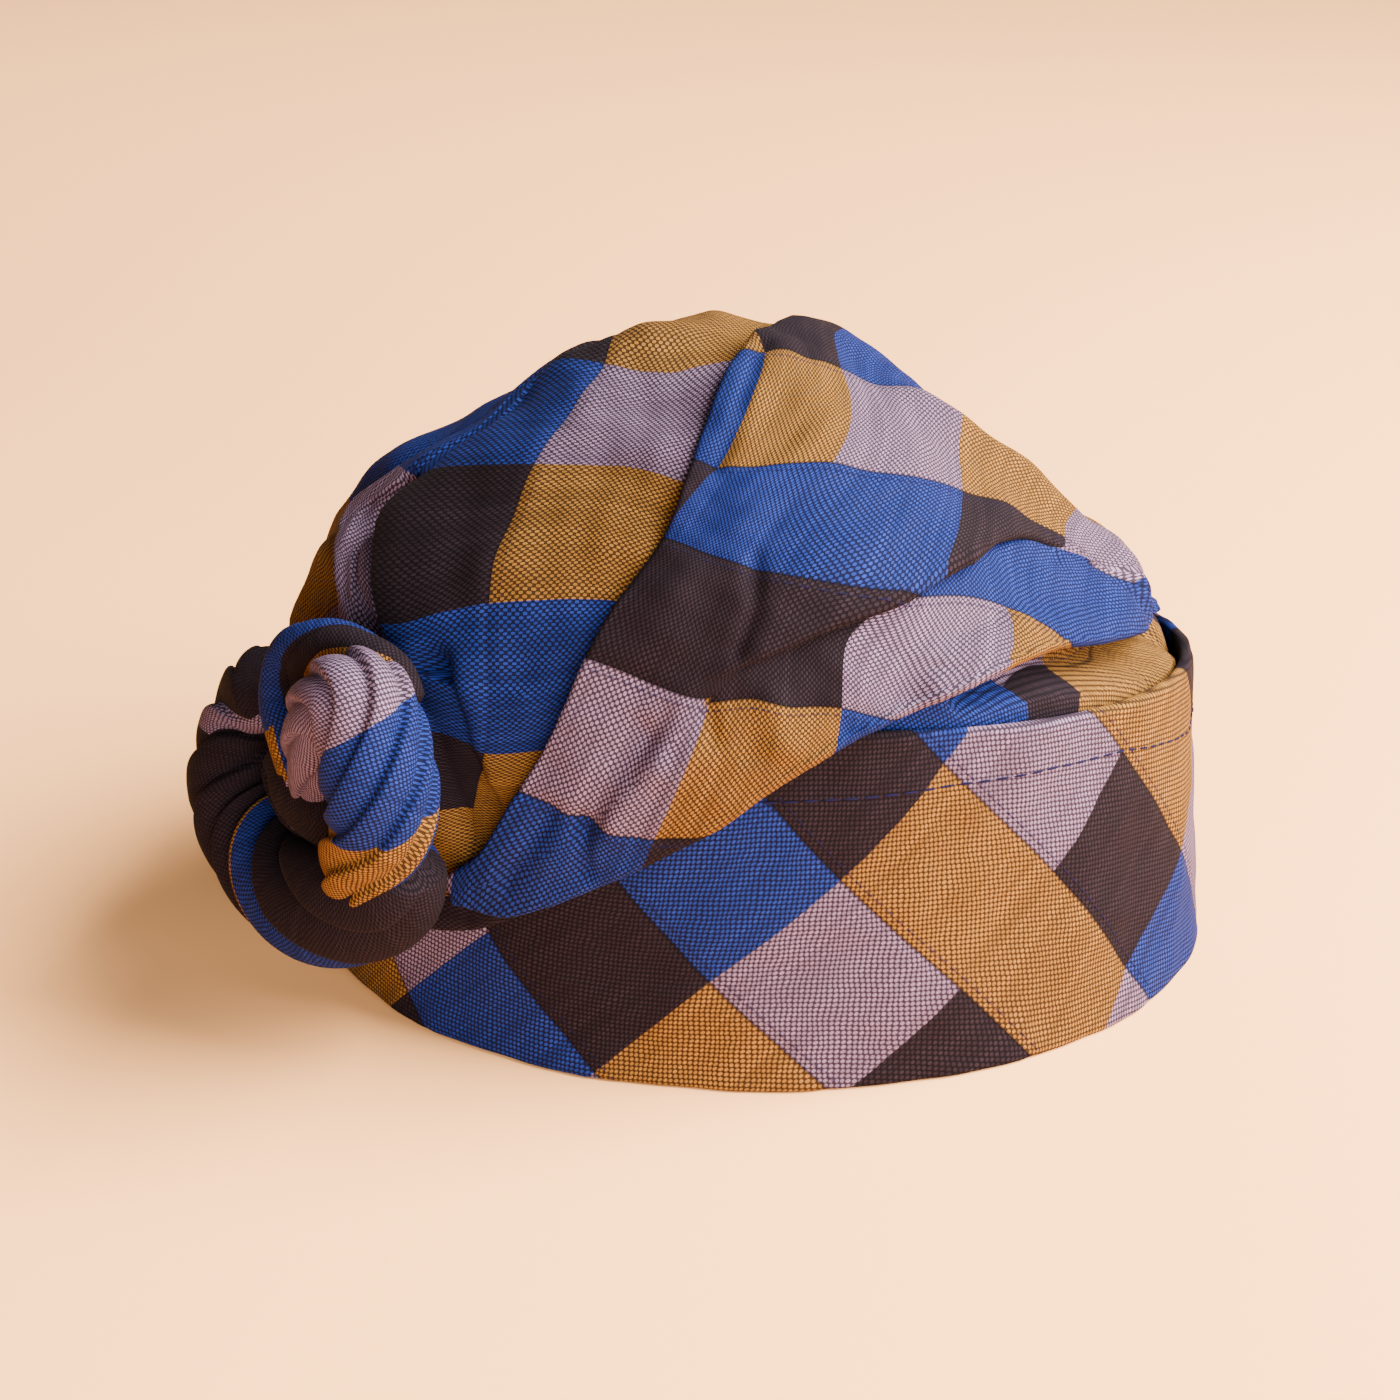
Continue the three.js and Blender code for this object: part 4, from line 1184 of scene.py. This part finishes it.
class HAT_OT_under_wrap(bpy.types.Operator):
    """Build the lower wrap with its pleats above the knot"""

    bl_idname = "hat.under_wrap"
    bl_label = "Lower wrap"

    def execute(self, context):
        rows = UNDER_WRAP_ROWS
        edge = [UNDER_WRAP_EDGE] * len(rows)
        pleat = [UNDER_WRAP_PLEAT] * len(rows)
        first = [row.first_strength for row in rows]
        second = [row.second_strength for row in rows]
        bends = (
            Edge(line=0, columns=5, radius=edge, tuck=3, fall=5),
            Pleat(line=2, columns=34, radius=pleat, run=6, lap=6, top=-1, strength=first, fall=12),
            Pleat(line=3, columns=34, radius=pleat, run=6, lap=6, top=-1, strength=second, fall=10),
            Edge(line=4, columns=8, radius=edge, tuck=4, fall=5),
        )
        pins = (UNDER_WRAP_PINS, UNDER_WRAP_PLEAT_PINS, UNDER_WRAP_SIDE_PINS)

        def stand(along, line, where):
            return -drape_press(along, line) - crease_depth(UNDER_WRAP_CREASES, where)

        piece = build_wrap(
            "under_wrap_cloth",
            rows,
            lines=("hidden", "seam", "first", "second", "edge"),
            bends=bends,
            spans=(76, 14, 36),
            charts=[drape_chart(layer) for layer in pins],
            aligned=(True, False, False),
            stand_of=stand,
            along_steps=UNDER_WRAP_STEPS,
        )
        settings = context.scene.hat_cloth
        materials = [
            woven_check("lower wrap check cotton", UNDER_WRAP_CHART, settings, FAINT_SEAM),
            woven_check("lower wrap pleat cotton", UNDER_WRAP_PLEAT_CHART, settings, FAINT_SEAM),
            woven_check("lower wrap side cotton", UNDER_WRAP_SIDE_CHART, settings, FAINT_SEAM),
        ]
        finish_piece(piece, "under_wrap", materials)
        return {"FINISHED"}


class HAT_OT_over_wrap(bpy.types.Operator):
    """Build the upper wrap with its folded edge, its pleat and its rolled lower edge"""

    bl_idname = "hat.over_wrap"
    bl_label = "Upper wrap"

    def execute(self, context):
        rows = OVER_WRAP_ROWS
        roll = [row.roll for row in rows]
        pleat = [OVER_WRAP_PLEAT] * len(rows)
        fold = [OVER_WRAP_FOLD] * len(rows)
        strength = [row.strength for row in rows]
        bends = (
            Edge(line=0, columns=12, radius=roll, tuck=7, fall=8),
            Pleat(line=1, columns=44, radius=pleat, run=9, lap=8, top=1, strength=strength, fall=16),
            Edge(line=2, columns=12, radius=fold, tuck=7, fall=6),
        )

        def stand(along, line, where):
            lift = row_value([row.lift for row in rows], along)[:, None]
            return lift - crease_depth(OVER_WRAP_CREASES, where)

        piece = build_wrap(
            "over_wrap_cloth",
            rows,
            lines=("low", "pleat", "fold"),
            bends=bends,
            spans=(44, 78),
            charts=[drape_chart(OVER_WRAP_LOWER_PINS), drape_chart(OVER_WRAP_PINS)],
            aligned=(True, True),
            stand_of=stand,
            along_steps=OVER_WRAP_STEPS,
        )
        settings = context.scene.hat_cloth
        materials = [
            woven_check("upper wrap lower check cotton", OVER_WRAP_LOWER_CHART, settings),
            woven_check("upper wrap check cotton", OVER_WRAP_CHART, settings),
        ]
        finish_piece(piece, "over_wrap", materials)
        return {"FINISHED"}


# Knot: its middle on the drape, and the run of each rope as seen from outside: how far to the right of
# the middle and above it, the stand-off from the drape, the rope's radius and the turns of its twist so
# far.
KNOT_AZIMUTH = -61
KNOT_ELEVATION = -3.5
RopeRow = namedtuple("RopeRow", "right up stand radius twist")
# A rope of cloth: its width across for each unit of depth; the slant of its threads in degrees; the way
# its folds lap, 1 or -1, and where they start, as shares of the way round; where its colour strips start
# round it; how far its colour rows lean along it in one turn and where they start along it; and the
# colours by strip and row.
Rope = namedtuple("Rope", "name rows width slant lap folds strips lean blocks chart")
KNOT_ROPES = (
    Rope(
        name="knot_outer_turn",
        rows=(
            RopeRow(-22, 16.5, 0.8, 7.5, 0),
            RopeRow(-32, 8, 1.5, 8.5, 0.18),
            RopeRow(-33, -1, 3, 10.5, 0.36),
            RopeRow(-30.5, -9.5, 3.5, 12, 0.54),
            RopeRow(-24.5, -16, 2.5, 12, 0.72),
            RopeRow(-13.5, -20, 0.8, 12, 0.97),
            RopeRow(1, -19.5, 0.8, 12, 1.22),
            RopeRow(16, -13.5, 1.5, 12, 1.4),
            RopeRow(25.5, -6.5, 3, 11, 1.56),
            RopeRow(29, 2, 5, 9.5, 1.7),
        ),
        width=1.2,
        slant=32,
        lap=-1,
        folds=(0.16, 0.36, 0.58, 0.77, 0.985),
        strips=(0, 0.6, 0.78, 0.94, 0.985),
        lean=0,
        blocks=(0, 0.2),
        chart=("KK", "LK", "KB", "KO", "KK"),
    ),
    Rope(
        name="knot_inner_turn",
        rows=(
            RopeRow(20.5, -11.5, 3, 9.5, 0),
            RopeRow(24.5, -2, 8, 9.5, 0.14),
            RopeRow(30, 7.5, 8, 11, 0.28),
            RopeRow(30.5, 16, 8.5, 11.5, 0.42),
            RopeRow(28.5, 23.5, 9, 11, 0.54),
            RopeRow(24, 29, 9.5, 10.5, 0.66),
            RopeRow(16, 24.5, 8, 9.5, 0.78),
            RopeRow(11, 17, 6.5, 8.5, 0.88),
            RopeRow(5, 8, 4.5, 7, 0.96),
            RopeRow(-1.5, -2, 2, 5.5, 1.04),
        ),
        width=1,
        slant=40,
        lap=1,
        folds=(0.15, 0.29, 0.42, 0.555, 0.69, 0.825, 0.96),
        strips=(0,),
        lean=-0.22,
        blocks=(-0.22, 0.06, 0.345),
        chart=("OBL",),
    ),
    Rope(
        name="knot_loop",
        rows=(
            RopeRow(3, -5.5, 1, 8, 0),
            RopeRow(-2, 3.5, 3, 6.5, 0),
            RopeRow(-5.5, 12, 4.5, 6.3, 0),
            RopeRow(-9.5, 18.5, 4.5, 6.2, 0),
            RopeRow(-8, 27, 3.5, 6.4, -0.08),
            RopeRow(4.5, 31.5, 1.5, 6.8, -0.43),
            RopeRow(16.5, 30.5, 0.8, 6.2, -0.63),
            RopeRow(22.5, 24.5, 0.8, 5, -0.66),
        ),
        width=1,
        slant=-20,
        lap=1,
        folds=(0.05, 0.25, 0.46, 0.7),
        strips=(0, 0.1, 0.19, 0.41, 0.47, 0.75),
        lean=0,
        blocks=(0, 0.17, 0.315),
        chart=("LOB", "LBB", "LKK", "KOO", "KKK", "LOB"),
    ),
    # The core is a short brown rope deep in the ring's hole. Its dark brown is partly the cloth's own
    # colour and partly painted shade that stands in for the shadow in the hole.
    Rope(
        name="knot_core",
        rows=(
            RopeRow(-14, 4, 0.5, 7, 0),
            RopeRow(-4, 0, 0.5, 8.5, 0.1),
            RopeRow(8, -1, 0.5, 8.5, 0.2),
            RopeRow(18, 2, 0.5, 7, 0.3),
        ),
        width=1,
        slant=10,
        lap=1,
        folds=(0, 0.3, 0.6),
        strips=(0,),
        lean=0,
        blocks=(0,),
        chart=("K",),
    ),
)
ROPE_AROUND = 140
ROPE_STEPS_PER_ROW = 20
# How high a rope's middle lies for each unit of its radius, and the share of its length that each end
# closes in.
ROPE_SEAT = 1.08
ROPE_END = 0.04
# Folds: their depth as a share of the radius, the height that keeps the radius, the share of the length
# that they fade in over, the share of a fold that its round edge takes up, and how its back falls away.
FOLD_DEPTH = 0.22
FOLD_LEVEL = 0.75
FOLD_FADE = 0.12
FOLD_EDGE = 0.16
FOLD_FALL = 1.6
# The twist packs the threads of the knot closer than in flat cloth. Lengths along a rope are measured on
# lines round it, and the threads take up a share of what differs between the inside and the outside of a
# bend.
KNOT_THREAD_SCALE = 1.35
LENGTH_LINES = 33
LENGTH_SHARE = 0.55


def fold_heights(rope, across):
    """Heights from 0 to 1 of folds that overlap round a rope: each rises quickly to a round edge and falls
    slowly under the next, or the other way round."""
    first = rope.folds[0]
    edges = np.append(np.array(rope.folds) - first, 1)
    place = np.mod(across - first, 1)
    fold = np.clip(np.searchsorted(edges, place, side="right") - 1, 0, len(rope.folds) - 1)
    share = (place - edges[fold]) / (edges[fold + 1] - edges[fold])
    share = share if rope.lap > 0 else 1 - share
    rise = np.sqrt(np.clip(1 - (1 - share / FOLD_EDGE) ** 2, 0, 1))
    fall = 1 - np.clip((share - FOLD_EDGE) / (1 - FOLD_EDGE), 0, 1) ** FOLD_FALL
    return np.where(share < FOLD_EDGE, rise, fall)


def rope_points(rope, along, across):
    """Points of a rope's face and their places in the weave, in millimetres."""
    degrees_per_mm = np.degrees(1 / drape_reach(KNOT_AZIMUTH, KNOT_ELEVATION))
    right, up, stand, size, twist = np.array(rope.rows, float).T
    full = 2 * np.pi
    azimuth = KNOT_AZIMUTH + right * degrees_per_mm
    elevation = KNOT_ELEVATION + up * degrees_per_mm
    centres = at_reach(azimuth, elevation, drape_reach(azimuth, elevation) + stand + ROPE_SEAT * size)
    middle = hermite(centres, np.gradient(centres, axis=0), along * (len(rope.rows) - 1))
    tangent = np.gradient(middle, axis=0)
    tangent /= np.linalg.norm(tangent, axis=-1, keepdims=True)
    outward = middle - np.array([0, 0, HEAD_MIDDLE])
    outward -= (outward * tangent).sum(axis=-1, keepdims=True) * tangent
    outward /= np.linalg.norm(outward, axis=-1, keepdims=True)
    sideways = np.cross(tangent, outward)
    from_end = np.minimum(along, 1 - along)
    closing = np.sqrt(np.clip(from_end / ROPE_END, 0, 1))
    turn = full * (across[None, :] + row_value(twist, along)[:, None])
    depth = FOLD_DEPTH * smooth(from_end, 0, FOLD_FADE)
    folds = depth[:, None] * (fold_heights(rope, across)[None, :] - FOLD_LEVEL)
    radius = (row_value(size, along) * closing)[:, None] * (1 + folds)

    def face(angle, reach):
        out = outward[:, None] * (reach * np.cos(angle))[..., None]
        aside = sideways[:, None] * (rope.width * reach * np.sin(angle))[..., None]
        return middle[:, None] + out + aside

    points = face(turn, radius)
    angles = np.broadcast_to(np.linspace(0, full, LENGTH_LINES), (len(along), LENGTH_LINES))
    lengths = surface_lengths(face(angles, row_value(size, along)[:, None]), 0)
    lengths -= lengths[len(along) // 2]
    lengths = lerp(lengths.mean(axis=1, keepdims=True), lengths, LENGTH_SHARE)
    length = np.array([np.interp(np.mod(row, full), angles[0], line) for row, line in zip(turn, lengths)])
    around = turn * np.mean(size)
    warp = around * cosine(rope.slant) - length * sine(rope.slant)
    weft = around * sine(rope.slant) + length * cosine(rope.slant)
    return points, np.stack([warp, weft], axis=-1)


def rope_chart(rope, along, across):
    strip = np.interp(across, np.append(rope.strips, 1), np.arange(len(rope.strips) + 1))
    ends = np.append(rope.blocks, 1 + abs(rope.lean))
    row = np.interp(along[:, None] + rope.lean * across, ends, np.arange(len(ends)))
    return np.stack(np.broadcast_arrays(strip[None, :], row), axis=-1)


class HAT_OT_knot(bpy.types.Operator):
    """Build the rosette knot of twisted, pleated cloth"""

    bl_idname = "hat.knot"
    bl_label = "Knot"

    def execute(self, context):
        settings = context.scene.hat_cloth
        across = np.linspace(0, 1, ROPE_AROUND + 1)
        for rope in KNOT_ROPES:
            along = np.linspace(0, 1, (len(rope.rows) - 1) * ROPE_STEPS_PER_ROW + 1)
            points, weave = rope_points(rope, along, across)
            chart = rope_chart(rope, along, across)
            piece = bent_grid(rope.name, points, [chart], [weave * KNOT_THREAD_SCALE], loops=True)
            title = rope.name.replace("_", " ") + " cotton"
            cotton = woven_check(title, rope.chart, settings, seam_strength=0)
            finish_piece(piece, "knot", [cotton])
        return {"FINISHED"}


# Stage: the camera's place and tilt, the width of its sensor in millimetres, how near it sees and half
# the width of the floor, in metres.
CAMERA_PLACE = (-14.468, -602.034, 315.826)
CAMERA_TILT = 66.432
SENSOR_WIDTH = 36
NEAREST = 0.01
FLOOR_SIZE = 4.0
# Lamps: the setting with its power, where it stands, what it aims at, its width and its height, in
# metres.
LampRow = namedtuple("LampRow", "name power place aim width height")
LAMP_ROWS = (
    LampRow("key light", "key_power", (0.96, -0.13, 0.9), (0, 0, 0.06), 1.15, 1.15),
    LampRow("fill light", "fill_power", (0.3, -1.2, 0.3), (0, 0, 0.1), 1.2, 0.36),
    LampRow("backdrop light", "backdrop_power", (-0.2, 1.2, 0.7), (-0.2, 1.5, 0), 1.2, 1.2),
)


def lay_floor(settings):
    grid = bmesh.new()
    bmesh.ops.create_grid(grid, x_segments=1, y_segments=1, size=FLOOR_SIZE)
    mesh = new_mesh("floor", grid)
    finish = {"Base Color": (*settings.floor, 1), **PAPER_FINISH}
    mesh.materials.append(new_material("matt backdrop paper", finish))
    new_object("floor", mesh)


def set_camera(settings):
    camera_data = bpy.data.cameras.new("camera")
    camera_data.lens = settings.lens
    camera_data.sensor_width = SENSOR_WIDTH
    camera_data.clip_start = NEAREST
    camera = new_object("camera", camera_data)
    camera.location = Vector(np.array(CAMERA_PLACE) * MM + MIDDLE)
    camera.rotation_euler = (np.radians(CAMERA_TILT), 0, 0)
    bpy.context.scene.camera = camera


def set_lamps(settings):
    for row in LAMP_ROWS:
        lamp_data = bpy.data.lights.new(row.name, "AREA")
        lamp_data.energy = getattr(settings, row.power)
        lamp_data.shape = "RECTANGLE"
        lamp_data.size = row.width
        lamp_data.size_y = row.height
        lamp = new_object(row.name, lamp_data)
        lamp.location = row.place
        aim = Vector(row.aim) - Vector(row.place)
        lamp.rotation_euler = aim.to_track_quat("-Z", "Y").to_euler()


def set_surround(settings):
    world = bpy.data.worlds.new("studio")
    world.use_nodes = True
    light = world.node_tree.nodes["Background"].inputs
    light["Color"].default_value = (*settings.surround, 1)
    light["Strength"].default_value = settings.surround_strength
    bpy.context.scene.world = world


class HAT_OT_stage(bpy.types.Operator):
    """Set a pale floor, soft studio light and the camera"""

    bl_idname = "hat.stage"
    bl_label = "Stage"

    def execute(self, context):
        for step in (lay_floor, set_camera, set_lamps, set_surround):
            step(context.scene.hat_stage)
        return {"FINISHED"}


OPERATORS = (
    HAT_OT_stage,
    HAT_OT_band,
    HAT_OT_stitches,
    HAT_OT_crown,
    HAT_OT_under_wrap,
    HAT_OT_over_wrap,
    HAT_OT_knot,
)


class HAT_PT_panel(bpy.types.Panel):
    """Builders and settings of the hat"""

    bl_idname = "HAT_PT_panel"
    bl_label = "Turban hat"
    bl_space_type = "VIEW_3D"
    bl_region_type = "UI"
    bl_category = "Turban hat"

    def draw(self, context):
        for operator in OPERATORS:
            self.layout.operator(operator.bl_idname)
        for group in (context.scene.hat_cloth, context.scene.hat_stage):
            for name in group.__annotations__:
                self.layout.prop(group, name)


CLASSES = (HatClothSettings, HatStageSettings, *OPERATORS, HAT_PT_panel)


def register():
    for cls in CLASSES:
        bpy.utils.register_class(cls)
    bpy.types.Scene.hat_cloth = PointerProperty(type=HatClothSettings)
    bpy.types.Scene.hat_stage = PointerProperty(type=HatStageSettings)


def unregister():
    del bpy.types.Scene.hat_cloth
    del bpy.types.Scene.hat_stage
    for cls in reversed(CLASSES):
        bpy.utils.unregister_class(cls)


def main():
    register()
    for operator in OPERATORS:
        group, action = operator.bl_idname.split(".")
        getattr(getattr(bpy.ops, group), action)()


if __name__ == "__main__":
    main()
